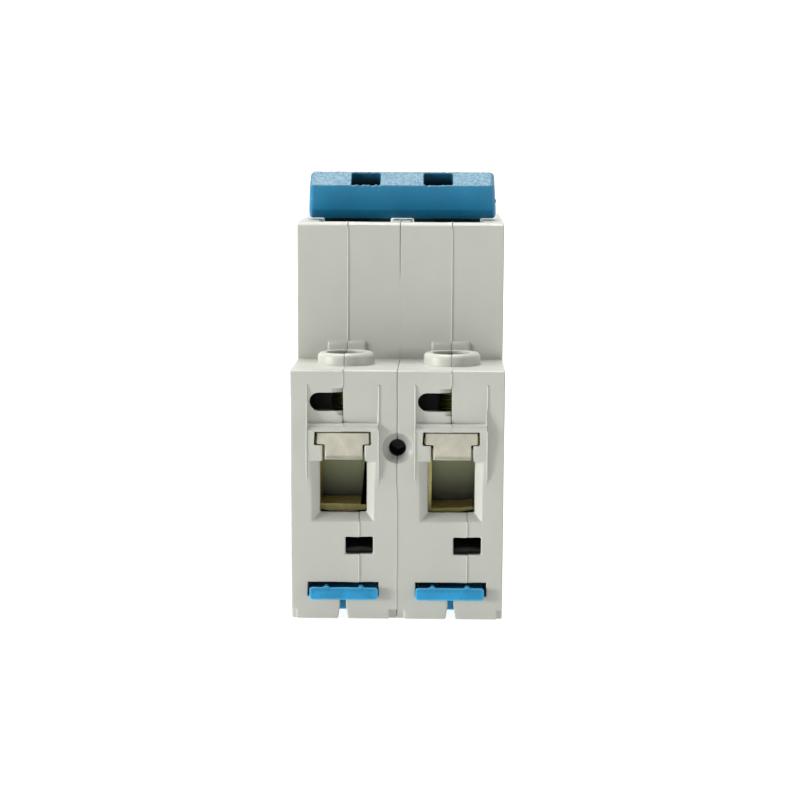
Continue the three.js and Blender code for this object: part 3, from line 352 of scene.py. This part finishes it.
def clip_plastic():
    recipe = Recipe("clip_plastic")
    base = (0.009, 0.24, 0.47)
    clouds = recipe.remap(recipe.noise(2.5 * MM, 5), 0, 1)
    cloudy = recipe.blend(clouds, shade(base, 0.80), shade(base, 1.18))
    # Painted shade: the top of the clip's head darker.
    height = recipe.add("ShaderNodeSeparateXYZ", {0: recipe.place}).outputs["Z"]
    top_shade = recipe.remap(height, 0, 0.45, 4.6 * MM, 5.2 * MM)
    top_shaded = recipe.blend(top_shade, cloudy, shade(base, 0.4))
    # Convex edges painted lighter: a painted edge highlight.
    highlit_edges = recipe.blend(recipe.remap(recipe.edges(0.505, 0.57), 0, 0.85, 0, 1), top_shaded, (0.08, 0.46, 0.74))
    recipe.link(highlit_edges, "Base Color")
    recipe.link(recipe.remap(recipe.noise(0.8 * MM, 4), 0.24, 0.42), "Roughness")
    grain = recipe.bump(recipe.noise(0.3 * MM, 3), 0.02 * MM, 0.6)
    recipe.link(recipe.bump(recipe.noise(1.5 * MM, 2), 0.06 * MM, 0.5, grain), "Normal")
    recipe.set(Subsurface_Weight=0.15, Subsurface_Scale=0.6 * MM, Specular_IOR_Level=0.3)
    recipe.shader.inputs["Subsurface Radius"].default_value = (0.2, 0.6, 1.0)
    return recipe.material


def plain_plastic(name, base, roughness):
    recipe = Recipe(name)
    clouds = recipe.remap(recipe.noise(4 * MM, 5), 0, 1)
    cloudy = recipe.blend(clouds, shade(base, 0.88), shade(base, 1.10))
    # Convex edges painted lighter: a painted edge highlight.
    highlit_edges = recipe.blend(recipe.remap(recipe.edges(), 0, 0.3, 0, 1), cloudy, shade(base, 1.5))
    recipe.link(highlit_edges, "Base Color")
    recipe.link(recipe.remap(recipe.noise(1 * MM, 4), roughness - 0.08, roughness + 0.08), "Roughness")
    recipe.link(recipe.bump(recipe.noise(0.2 * MM, 3), 0.012 * MM, 0.7), "Normal")
    return recipe.material


def metal(name, base, tints, roughness, brushed=None, metallic=1.0):
    """Plated or bare metal: its base colour, patches of each tint, and fine draw or tool marks."""
    recipe = Recipe(name)
    clouds = recipe.remap(recipe.noise(2.5 * MM, 4), 0, 1)
    colour = recipe.blend(clouds, shade(base, 0.85), shade(base, 1.12))
    for size, tint, start in tints:
        amount = recipe.remap(recipe.noise(size, 5, 0.6), 0, 0.75, start, start + 0.14)
        colour = recipe.blend(amount, colour, tint)
    recipe.link(colour, "Base Color")
    marks = recipe.noise(0.12 * MM, 4, 0.6, brushed or (1, 1, 1))
    recipe.link(recipe.remap(marks, roughness - 0.09, roughness + 0.12), "Roughness")
    dents = recipe.bump(recipe.noise(1.2 * MM, 3), 0.03 * MM, 0.5)
    recipe.link(recipe.bump(marks, 0.012 * MM, 0.7, dents), "Normal")
    recipe.set(Metallic=metallic)
    return recipe.material


def floor_paint():
    """A matt white floor, lit from below like a product table, so that shadows stay faint."""
    recipe = Recipe("floor_paint")
    clouds = recipe.remap(recipe.noise(0.25, 3), 0, 0.2)
    recipe.link(recipe.blend(clouds, (0.18, 0.18, 0.18), (0.21, 0.21, 0.21)), "Base Color")
    recipe.set(Roughness=0.8, Emission_Color=(1, 1, 1, 1), Emission_Strength=0.93)
    return recipe.material


MATERIALS = {
    "housing": housing_plastic("housing_plastic", (0.41, 0.42, 0.375)),
    # A lighter copy of the housing plastic for rounded edges and seams: a painted edge highlight.
    "housing_edge_highlight": housing_plastic("housing_edge_highlight", (0.74, 0.745, 0.70)),
    "handle": handle_plastic("handle_plastic", (0.008, 0.158, 0.305)),
    "handle_tip": stippled_tip(),
    "handle_shaded": pocket_shade(),
    "clip": clip_plastic(),
    "tinned": metal(
        "tin_plate", (0.44, 0.42, 0.345), [(1.2 * MM, (0.39, 0.36, 0.29), 0.60)],
        0.48, brushed=(1, 1, 0.1), metallic=0.5,
    ),
    "zinc": metal(
        "yellow_chromate", (0.80, 0.62, 0.20),
        [(1.1 * MM, (0.74, 0.38, 0.17), 0.54), (0.8 * MM, (0.50, 0.60, 0.20), 0.60)], 0.36,
    ),
    # A brighter, unreflective copy of the chromate for the cage faces turned towards the ends: a painted
    # highlight.
    "zinc_lit_faces": metal(
        "lit_chromate", (1.0, 0.84, 0.34), [(0.9 * MM, (1.0, 0.52, 0.24), 0.54)], 0.5, metallic=0.0,
    ),
    # A darkened copy of the chromate for the screws deep in their bores: painted shade.
    "screw": metal("shaded_chromate", (0.30, 0.29, 0.10), [(0.7 * MM, (0.14, 0.16, 0.05), 0.52)], 0.42),
    "steel": metal("bare_steel", (0.42, 0.43, 0.44), [(2 * MM, (0.30, 0.30, 0.29), 0.58)], 0.36),
    "copper": metal("bare_copper", (0.72, 0.36, 0.20), [(1.5 * MM, (0.50, 0.24, 0.13), 0.56)], 0.34),
    "brass": metal("bare_brass", (0.68, 0.52, 0.24), [(1.5 * MM, (0.50, 0.38, 0.18), 0.56)], 0.34),
    "fibre": plain_plastic("arc_fibre", (0.20, 0.17, 0.13), 0.65),
    "black": plain_plastic("black_plastic", (0.018, 0.018, 0.019), 0.45),
    "cream": plain_plastic("cream_plastic", (0.60, 0.55, 0.42), 0.45),
}


# ---- Mesh helpers ----

# Forms are drawn in millimetres and become metres when a piece is finished,
# so that the mesh tools' tolerances stay small against the shapes.


def cad_form(node):
    """A clean, welded copy of a CAD node with its flat faces whole again."""
    form = bmesh.new()
    form.from_mesh(NODES[node].data)
    bmesh.ops.scale(form, vec=(1 / MM, 1 / MM, 1 / MM), verts=form.verts)
    bmesh.ops.remove_doubles(form, verts=form.verts, dist=0.003)
    bmesh.ops.dissolve_limit(form, angle_limit=math.radians(0.5), verts=form.verts, edges=form.edges)
    bmesh.ops.dissolve_degenerate(form, dist=0.01, edges=form.edges)
    return form


def round_edges(form, width, segments=2, sharper_than=30):
    sharp = [
        edge for edge in form.edges
        if len(edge.link_faces) == 2 and edge.calc_face_angle(0) > math.radians(sharper_than)
    ]
    bmesh.ops.bevel(
        form, geom=sharp, offset=width, offset_type="OFFSET", segments=segments,
        profile=0.5, affect="EDGES", clamp_overlap=False,
    )


def finish_piece(form, name, slot, body, replaced, materials=None, smooth_below=45):
    """Turns a form into a shaded piece that rides a body and stands for CAD nodes."""
    crowded = [face for face in form.faces if len(face.verts) > 4]
    bmesh.ops.triangulate(form, faces=crowded)
    form.normal_update()
    for face in form.faces:
        face.smooth = True
    for edge in form.edges:
        edge.smooth = not (
            len(edge.link_faces) != 2 or edge.calc_face_angle(0) > math.radians(smooth_below)
        )
    bmesh.ops.scale(form, vec=(MM, MM, MM), verts=form.verts)
    mesh = bpy.data.meshes.new(name)
    form.to_mesh(mesh)
    form.free()
    for key in materials or [slot]:
        mesh.materials.append(MATERIALS[key])
    piece = bpy.data.objects.new(name, mesh)
    bpy.context.scene.collection.objects.link(piece)
    even = piece.modifiers.new("even_normals", "WEIGHTED_NORMAL")
    even.keep_sharp = True
    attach(piece, body)
    for node in replaced:
        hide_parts(node)
    return piece


def finish_node(form, node, materials=None, smooth_below=45):
    """Finishes a form that stands for one CAD node, with that node's body and slot."""
    return finish_piece(
        form, f"{node}_form", SLOT_OF[node], BODY_OF[node], [node], materials, smooth_below,
    )


def lathe_across(profile, y, z, sides=40):
    """A closed solid of revolution about a line across the poles; rows are (radius, x)."""
    form = bmesh.new()
    rows = []
    for radius, x in profile:
        if radius <= 0:
            rows.append([form.verts.new((x, y, z))])
            continue
        row = []
        for k in range(sides):
            angle = 2 * math.pi * k / sides
            row.append(form.verts.new((x, y + radius * math.cos(angle), z + radius * math.sin(angle))))
        rows.append(row)
    for first, second in zip(rows, rows[1:]):
        for k in range(sides):
            m = (k + 1) % sides
            corners = [
                first[k % len(first)], first[m % len(first)],
                second[m % len(second)], second[k % len(second)],
            ]
            unique = list(dict.fromkeys(corners))
            if len(unique) > 2:
                form.faces.new(unique)
    bmesh.ops.recalc_face_normals(form, faces=form.faces)
    return form


def block_form(x, y, z):
    form = bmesh.new()
    bmesh.ops.create_cube(form, size=1)
    for vertex in form.verts:
        for axis, span in enumerate((x, y, z)):
            low, high = sorted(span)
            vertex.co[axis] = low + (vertex.co[axis] + 0.5) * (high - low)
    return form


def prism_form(outline, axis, low, high):
    """A straight prism; outline rows are the two other axes, in x, y, z order."""
    form = bmesh.new()
    rings = []
    for along in (low, high):
        ring = []
        for first, second in outline:
            place = [first, second]
            place.insert("xyz".index(axis), along)
            ring.append(form.verts.new(place))
        rings.append(ring)
    count = len(outline)
    for k in range(count):
        m = (k + 1) % count
        form.faces.new((rings[0][k], rings[0][m], rings[1][m], rings[1][k]))
    form.faces.new(list(reversed(rings[0])))
    form.faces.new(rings[1])
    bmesh.ops.recalc_face_normals(form, faces=form.faces)
    return form


def scratch_object(form):
    mesh = bpy.data.meshes.new("scratch")
    form.to_mesh(mesh)
    form.free()
    thing = bpy.data.objects.new("scratch", mesh)
    bpy.context.scene.collection.objects.link(thing)
    return thing


def drop(thing):
    mesh = thing.data
    bpy.data.objects.remove(thing)
    bpy.data.meshes.remove(mesh)


def applied_form(thing):
    """The object's shape with its modifiers applied; the object is dropped."""
    graph = bpy.context.evaluated_depsgraph_get()
    shape = thing.evaluated_get(graph)
    form = bmesh.new()
    form.from_mesh(shape.to_mesh())
    shape.to_mesh_clear()
    drop(thing)
    return form


def combine(base, others, operation):
    """Boolean of a form with several more, which are used up."""
    thing = scratch_object(base)
    tools = [scratch_object(other) for other in others]
    for tool in tools:
        step = thing.modifiers.new("step", "BOOLEAN")
        step.operation = operation
        step.solver = "EXACT"
        step.object = tool
    form = applied_form(thing)
    for tool in tools:
        drop(tool)
    return form


def remeshed(form, voxel, smoothing=2):
    """Even, softly rounded skin over a form, as a moulding has."""
    thing = scratch_object(form)
    skin = thing.modifiers.new("skin", "REMESH")
    skin.mode = "VOXEL"
    skin.voxel_size = voxel
    soften = thing.modifiers.new("soften", "SMOOTH")
    soften.factor = 0.5
    soften.iterations = smoothing
    return applied_form(thing)


def bevelled(form, width, segments, edge_material):
    """Rounds each edge by its bevel weight times width."""
    thing = scratch_object(form)
    soften = thing.modifiers.new("rounding", "BEVEL")
    soften.limit_method = "WEIGHT"
    soften.offset_type = "OFFSET"
    soften.width = width
    soften.segments = segments
    soften.use_clamp_overlap = False
    soften.loop_slide = False
    soften.material = edge_material
    return applied_form(thing)


def divide_long_edges(form, longest):
    for _ in range(6):
        long = [e for e in form.edges if e.calc_length() > longest and e.calc_face_angle(0) > 0.5]
        if not long:
            return
        bmesh.ops.subdivide_edges(form, edges=long, cuts=1)


def slice_across(form, axis, places):
    """Cuts every face where it crosses planes at right angles to an axis."""
    normal = Vector((0, 0, 0))
    normal[axis] = 1
    for place in places:
        geometry = [*form.verts, *form.edges, *form.faces]
        bmesh.ops.bisect_plane(form, geom=geometry, dist=0.0001, plane_co=normal * place, plane_no=normal)


# ---- Pieces ----

PARTING_GAP = 0.1
CLOSED_GAP = 0.004
JOG_SHIFT = 2.75
JOG_LOW, JOG_HIGH = 4.5, 27.4
POLE_HALF = 8.88
JOINT_HALF = 8.978
LENGTH_HALF = 40.5
SHOULDER_Z = 41.9
NOSE_HALF = 22.5
NOSE_Z = 65.5
OUTER_SIDE = 17.88
SKIN = 2.2
SHELL_ROUNDING = 0.28
SEAM_HALF = 0.27
SCREW_Y = 30.3
BLOCK_LEFT, BLOCK_RIGHT = -6.02, 5.94


def close_parting(form, index, side):
    """Brings the two halves of a pole, and the two poles, almost together."""
    middle = pole_x(index)
    sign = -1 if side == "left" else 1
    inner_sign = 1 if index == 1 else -1
    for vertex in form.verts:
        u = vertex.co.x - middle
        for plane in (0, JOG_SHIFT):
            if abs(u - plane - sign * PARTING_GAP) < 0.01:
                vertex.co.x = middle + plane + sign * CLOSED_GAP
        if abs(u - inner_sign * POLE_HALF) < 0.01:
            vertex.co.x = middle + inner_sign * JOINT_HALF


def nearest_skin(place):
    """How far a point lies under the housing's outer skin, and which way is out."""
    on_nose = abs(place.y) < NOSE_HALF + 0.1
    end = LENGTH_HALF if place.z < SHOULDER_Z + 0.01 else NOSE_HALF
    top = NOSE_Z if on_nose else SHOULDER_Z
    return min(
        (end - abs(place.y), (0, math.copysign(1, place.y), 0)),
        (top - place.z, (0, 0, 1)),
        (OUTER_SIDE - abs(place.x), (math.copysign(1, place.x), 0, 0)),
        (place.z, (0, 0, -1)),
    )


def at_joint_boss(place):
    return abs(place.x) < 3 and abs(place.z - JOINT_BOSS_Z) < 3 and abs(place.y) > LENGTH_HALF - 0.6


def at_block_rib(place, middle):
    u = place.x - middle
    beside = min(abs(u - BLOCK_LEFT), abs(u - BLOCK_RIGHT)) < 0.2
    return beside and 21.8 < place.z < 39.8 and abs(place.y) > LENGTH_HALF - 0.6


def at_block_opening(place, middle):
    """The bar slot and the peep hole, which lie close to other edges."""
    u = abs(place.x - middle)
    slot = 29 < place.z < 31.9 and u < 5.3
    peep_hole = 34.2 < place.z < 38.8 and u < 5.7
    return abs(place.y) > 39.2 and (slot or peep_hole)


def at_block_crease(place, middle):
    """The crease across a terminal block, just above the bar slot."""
    return abs(place.x - middle) < 6.2 and abs(place.y) > 39.2 and 31.6 < place.z < 31.9


def edge_weight(edge, middle):
    """How round each outer edge is: parting lines are crisp, handled edges are soft."""
    ends = [v.co for v in edge.verts]
    if max(nearest_skin(p)[0] for p in ends) > SKIN:
        return 0
    if all(at_block_crease(p, middle) for p in ends):
        return 0
    across = [p.x - middle for p in ends]
    for plane in (0, JOG_SHIFT):
        if all(abs(u - plane) < 0.03 for u in across):
            return 0.9 if across[0] < plane else 0.3
    if all(abs(abs(u) - JOINT_HALF) < 0.03 for u in across):
        return 0.7 if across[0] > 0 else 0.4
    if all(at_joint_boss(p) for p in ends) or all(at_block_rib(p, middle) for p in ends):
        return 0.28
    if all(at_block_opening(p, middle) for p in ends):
        return 0.18
    return 0.8


def block_rib(index, side, end):
    """The fine raised line down one side of a terminal block."""
    u = BLOCK_LEFT if side == "left" else BLOCK_RIGHT
    x = pole_x(index) + u
    face, half, proud = LENGTH_HALF, 0.11, 0.13
    profile = [
        (face - 1.3, 39.45), (face + 0.02, 39.45), (face + proud, 39.2), (face + proud, 32.6),
        (face + 0.8 + proud, 31.78), (face + 0.14 + proud, 23.9), (face + 0.1, 23.6), (face - 1.3, 23.6),
    ]
    return prism_form([(end * y, z) for y, z in profile], "x", x - half, x + half)


def seam_height(place, kind):
    """How high the line of flash stands along each seam; None where the seam is a plain groove."""
    if kind == "parting":
        return 0.11 + 0.05 * noise.noise(place / 1.3)
    if place.z > 56:
        return None
    if place.z > SHOULDER_Z:
        return 0.0
    if place.z > 22:
        return None
    return 0.09 + 0.04 * noise.noise(place / 1.3)


def raise_seams(form, index):
    """Raises the flash on the left lip of each seam, and flattens the right lip."""
    middle = pole_x(index)
    for vertex in form.verts:
        place = vertex.co
        depth, out = nearest_skin(place)
        if not -0.05 < depth < SEAM_HALF or place.z < 0.6 or at_joint_boss(place):
            continue
        u = place.x - middle
        in_jog = JOG_LOW < place.z < JOG_HIGH and place.y < -NOSE_HALF
        plane = JOG_SHIFT if in_jog else 0
        distances = [(abs(u - plane), "parting", u - plane), (abs(place.x), "joint", place.x)]
        distance, kind, offset = min(distances)
        if distance > SEAM_HALF:
            continue
        height = seam_height(place, kind)
        if height is not None:
            rise = height * (1 - distance / SEAM_HALF) if offset < 0 else 0
            vertex.co += Vector(out) * (depth + rise)
            if kind == "joint" and distance < 0.05:
                vertex.co.x *= 0.15


def weather(form, side):
    """The slight waviness of a moulding, and the mismatch between its halves."""
    lift = 0.05 if side == "right" else 0
    for vertex in form.verts:
        place = vertex.co.copy()
        if nearest_skin(place)[0] > SKIN or place.z < 0.3:
            continue
        drift = noise.noise_vector(place / 7) * 0.055
        drift += noise.noise_vector(place / 1.9) * 0.02
        if abs(place.z - SHOULDER_Z) > 0.1 and place.z < NOSE_Z - 0.5:
            drift.z += lift
        vertex.co += Vector((drift.x * 0.6, drift.y * 0.5, drift.z))


def housing_piece(index, side):
    node = f"housing_{side}_{index}"
    middle = pole_x(index)
    form = cad_form(node)
    close_parting(form, index, side)
    form = combine(form, [block_rib(index, side, end) for end in (-1, 1)], "UNION")
    divide_long_edges(form, 3)
    weights = form.edges.layers.float.new("bevel_weight_edge")
    for edge in form.edges:
        if len(edge.link_faces) == 2 and edge.calc_face_angle(0) > math.radians(28):
            edge[weights] = edge_weight(edge, middle)
    # Bevel faces take material index 1, the housing's painted edge highlight.
    form = bevelled(form, SHELL_ROUNDING, 2, 1)
    raise_seams(form, index)
    weather(form, side)
    finish_node(form, node, ["housing", "housing_edge_highlight"])


GRIP_TIP = 21.6
GRIP_HALF = 2.25
GRIP_FOOT = 14.05
POCKET_NEAR, POCKET_FAR, POCKET_FLOOR = 3.85, 8.95, 17.4


def leaned(place):
    """From the upright handle's (x, across, up from the pivot) to its rest place."""
    x, v, w = place
    return Vector((
        x,
        v * math.cos(LEAN) - w * math.sin(LEAN),
        HANDLE_PIVOT_Z + v * math.sin(LEAN) + w * math.cos(LEAN),
    ))


def grip_form():
    """The bar across both toggles, upright, before its pockets are cut."""
    foot, face, end, tip_end, radius = GRIP_FOOT, 16.35, 16.7, 16.3, 0.7
    section = [
        (-1.4, foot), (1.4, foot), (GRIP_HALF, face),
        (GRIP_HALF, GRIP_TIP), (-GRIP_HALF, GRIP_TIP), (-GRIP_HALF, face),
    ]
    turns = [math.radians(a) for a in (90, 60, 30, 0)]
    stations = [(-1, a) for a in turns] + [(1, a) for a in reversed(turns)]
    form = bmesh.new()
    rings = []
    for side, angle in stations:
        inset = radius * (1 - math.cos(angle))
        reach = end - radius * (1 - math.sin(angle))
        ring = []
        for v, w in section:
            taper = 1 - (1 - tip_end / end) * (w - foot) / (GRIP_TIP - foot)
            raised = w - inset if w > 18 else w + inset * (w < 15)
            ring.append(form.verts.new((side * reach * taper, math.copysign(abs(v) - inset, v), raised)))
        rings.append(ring)
    count = len(section)
    for first, second in zip(rings, rings[1:]):
        for k in range(count):
            m = (k + 1) % count
            form.faces.new((first[k], first[m], second[m], second[k]))
    form.faces.new(rings[0])
    form.faces.new(rings[-1])
    bmesh.ops.recalc_face_normals(form, faces=form.faces)
    return form


def in_pocket(place):
    x, v, w = place
    across = POCKET_NEAR - 0.12 < abs(x) < POCKET_FAR + 0.12
    return across and -GRIP_HALF + 0.2 < v < GRIP_HALF - 0.25 and POCKET_FLOOR - 0.3 < w < GRIP_TIP - 0.22


def tie_handle_piece():
    skirts = [
        block_form((side * 2.05, side * 13.9), (face * 1.15, face * 1.4), (13.2, 14.5))
        for side in (-1, 1) for face in (-1, 1)
    ]
    gate = bmesh.new()
    bmesh.ops.create_icosphere(gate, subdivisions=2, radius=0.42)
    bmesh.ops.translate(gate, verts=gate.verts, vec=(16.3, -1.5, 17.9))
    form = combine(grip_form(), [*skirts, gate], "UNION")
    cutters = []
    for side in (-1, 1):
        pocket = (side * POCKET_NEAR, side * POCKET_FAR)
        cutters.append(block_form(pocket, (-1.88, 1.85), (POCKET_FLOOR, GRIP_TIP + 1.2)))
        middle = side * POLE_PITCH / 2
        cutters.append(block_form((middle - 3.7, middle + 3.7), (-1.35, 1.35), (12, 16.9)))
    form = combine(form, cutters, "DIFFERENCE")
    form = remeshed(form, 0.15, 2)
    for vertex in form.verts:
        x, v, w = vertex.co
        long_waves = noise.noise(Vector((x, v, w)) / 6) * 0.05
        v += math.copysign(long_waves, v)
        if w > GRIP_TIP - 0.25:
            streak = 2.6 if x < -8.9 else 1.0
            pits = noise.noise(Vector((x / (0.33 * streak), v / 0.33, 3)))
            pits += 0.6 * noise.noise(Vector((x / (0.9 * streak), v / 0.6, 9)))
            w -= 0.05 - pits * 0.075
        near_wall = v < -1.7 and POCKET_NEAR - 0.1 < abs(x) < POCKET_FAR + 0.1 and w > GRIP_TIP - 1
        if near_wall:
            ragged = noise.noise(Vector((x / 0.7, 0, 5))) + 0.5 * noise.noise(Vector((x / 0.25, 0, 8)))
            w -= 0.10 + ragged * 0.22
        vertex.co = (x, v, w)
    form.normal_update()
    for face in form.faces:
        centre = face.calc_center_median()
        on_tip = centre.z > GRIP_TIP - 0.45 and face.normal.z > 0.45
        # Faces in the pockets and under the grip take the dark pocket material: painted shade.
        in_shade = in_pocket(centre) or centre.z < GRIP_FOOT - 0.1
        face.material_index = 2 if in_shade else 1 if on_tip else 0
    for vertex in form.verts:
        vertex.co = leaned(vertex.co)
    finish_node(form, "tie_handle", ["handle", "handle_tip", "handle_shaded"], smooth_below=70)


def terminal_bar_piece(end_name, index):
    """A bar with a T-shaped tongue, whose lower lip curls outwards."""
    node = f"{end_name}_bar_{index}"
    end = ENDS[end_name]
    middle = pole_x(index)
    face = end * (LENGTH_HALF + 0.4)
    left, right, ear = middle - 3, middle + 3.27, 4.35
    low, step, high = 27.05, 29.5, 31.5
    tongue = [
        (left, low), (right, low), (right, step), (middle + ear, step),
        (middle + ear, high), (middle - ear, high), (middle - ear, step), (left, step),
    ]
    plate = prism_form(tongue, "y", *sorted((face, face - end * 1.5)))
    parts = [
        block_form((left, right), (face - end * 1.2, end * 21.6), (27.25, 28.3)),
        block_form((middle - 2.9, middle + 2.9), (end * 26.2, end * 38.2), (26.95, 27.6)),
    ]
    if end > 0:
        parts.append(block_form((left, right), (21.5, 22.8), (21.6, 28.3)))
        parts.append(block_form((left, right), (17.4, 22.8), (21.6, 22.8)))
    form = combine(plate, parts, "UNION")
    bmesh.ops.dissolve_limit(form, angle_limit=math.radians(0.5), verts=form.verts, edges=form.edges)
    round_edges(form, 0.16, 3)
    slice_across(form, 2, [low + 0.2 * step for step in range(1, 5)])
    for vertex in form.verts:
        if abs(vertex.co.y) > LENGTH_HALF - 1.3:
            below = max(0.0, (low + 0.8 - vertex.co.z) / 0.8)
            vertex.co.y += end * 0.35 * below * below
    finish_node(form, node)


def cage_piece(end_name, index):
    """The clamp cage, its lower plate bowed by use; the second pole's is squeezed thinner."""
    node = f"{end_name}_cage_{index}"
    form = cad_form(node)
    middle = pole_x(index)
    floor_z = min(v.co.z for v in form.verts)
    slice_across(form, 0, [middle + 0.9 * step for step in range(-5, 6)])
    slice_across(form, 1, [ENDS[end_name] * (SCREW_Y + 1.3 * step) for step in range(-2, 3)])
    sunken = 0.6 if index == 2 else 0
    for vertex in form.verts:
        rise = vertex.co.z - floor_z
        if rise < 1.6:
            u = (vertex.co.x - middle) / 4.7
            vertex.co.z += 0.10 * noise.noise(vertex.co / 1.6)
            if rise < 0.5:
                vertex.co.z -= 0.45 * (1 - u * u)
            elif abs(u) < 0.85:
                vertex.co.z -= sunken
        elif index == 2 and -4 < vertex.co.x - middle < -3.4:
            vertex.co.x += 0.35
    round_edges(form, 0.13, 2)
    # Faces turned towards the ends get the brighter chromate copy: a painted highlight.
    for face in form.faces:
        face.material_index = int(abs(face.normal.y) > 0.6)
    finish_node(form, node, ["zinc", "zinc_lit_faces"])


def screw_piece(end_name, index):
    """An M5 cheese-head screw with a cut thread and a combined recess."""
    node = f"{end_name}_screw_{index}"
    pitch, crest, root = 0.8, 2.42, 2.02
    low, top, sides, per_turn = 28.6, 39.7, 40, 8
    circle = [2 * math.pi * k / sides for k in range(sides)]
    form = bmesh.new()
    rows = int((top - low) / pitch * per_turn)
    rings = []
    for i in range(rows + 1):
        z = low + (top - low) * i / rows
        fade = min(1, (z - low) / 0.8, (top - z) / 0.5)
        ring = []
        for angle in circle:
            phase = (z / pitch - angle / (2 * math.pi)) % 1
            ridge = 1 - abs(2 * phase - 1)
            radius = root + (crest - root) * min(1, 1.25 * ridge) * fade - 0.35 * (1 - fade) * (z < 30)
            ring.append(form.verts.new((radius * math.cos(angle), radius * math.sin(angle), z)))
        rings.append(ring)
    for z, radius in ((39.7, 2.85), (39.8, 2.95), (41.35, 2.95), (41.52, 2.88), (41.6, 2.7)):
        rings.append([form.verts.new((radius * math.cos(a), radius * math.sin(a), z)) for a in circle])
    for first, second in zip(rings, rings[1:]):
        for k in range(sides):
            m = (k + 1) % sides
            form.faces.new((first[k], first[m], second[m], second[k]))
    form.faces.new(list(reversed(rings[0])))
    form.faces.new(rings[-1])
    slots = [
        block_form((-3.5, 3.5), (-0.45, 0.45), (40.5, 43)),
        block_form((-0.45, 0.45), (-1.8, 1.8), (40.5, 43)),
    ]
    form = combine(form, slots, "DIFFERENCE")
    bmesh.ops.translate(form, verts=form.verts, vec=(pole_x(index), ENDS[end_name] * SCREW_Y, 0))
    finish_node(form, node, ["screw"], smooth_below=55)


def rail_clip_piece(index):
    node = f"rail_clip_{index}"
    form = remeshed(cad_form(node), 0.16, 3)
    for vertex in form.verts:
        vertex.co += noise.noise_vector(vertex.co / 2.5) * 0.05
    finish_node(form, node, smooth_below=70)


def rivet_piece(number):
    """A tubular rivet whose ends are rolled over into domed rims."""
    node = f"rivet_{number}"
    low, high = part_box(node)
    y, z = ((low[i] + high[i]) / 2 / MM for i in (1, 2))
    end = high[0] / MM
    head = [
        (0, end - 1.3), (0.75, end - 1.3), (0.8, end - 0.25), (0.95, end - 0.06), (1.25, end),
        (1.75, end - 0.04), (2.2, end - 0.18), (2.4, end - 0.40), (1.4, end - 0.40),
    ]
    mirrored = [(radius, -x) for radius, x in reversed(head)]
    finish_node(lathe_across(head + mirrored, y, z), node, smooth_below=60)


def rounded_piece(node, width):
    form = cad_form(node)
    round_edges(form, width)
    finish_node(form, node)


def mechanism_pieces():
    widths = {
        "toggle": 0.14, "moving_contact": 0.1, "contact_carrier": 0.1, "fixed_contact": 0.1,
        "magnet_yoke": 0.15, "trip_lever": 0.15, "bimetal": 0.1,
    }
    for name, width in widths.items():
        for index in POLES:
            rounded_piece(f"{name}_{index}", width)


add_camera()
add_studio()
add_floor(floor_paint())
for node, part in NODES.items():
    part.data.materials.clear()
    part.data.materials.append(MATERIALS[SLOT_OF[node]])
for index in POLES:
    housing_piece(index, "left")
    housing_piece(index, "right")
    rail_clip_piece(index)
    for end_name in ENDS:
        terminal_bar_piece(end_name, index)
        cage_piece(end_name, index)
        screw_piece(end_name, index)
tie_handle_piece()
for number in range(1, 5):
    rivet_piece(number)
mechanism_pieces()
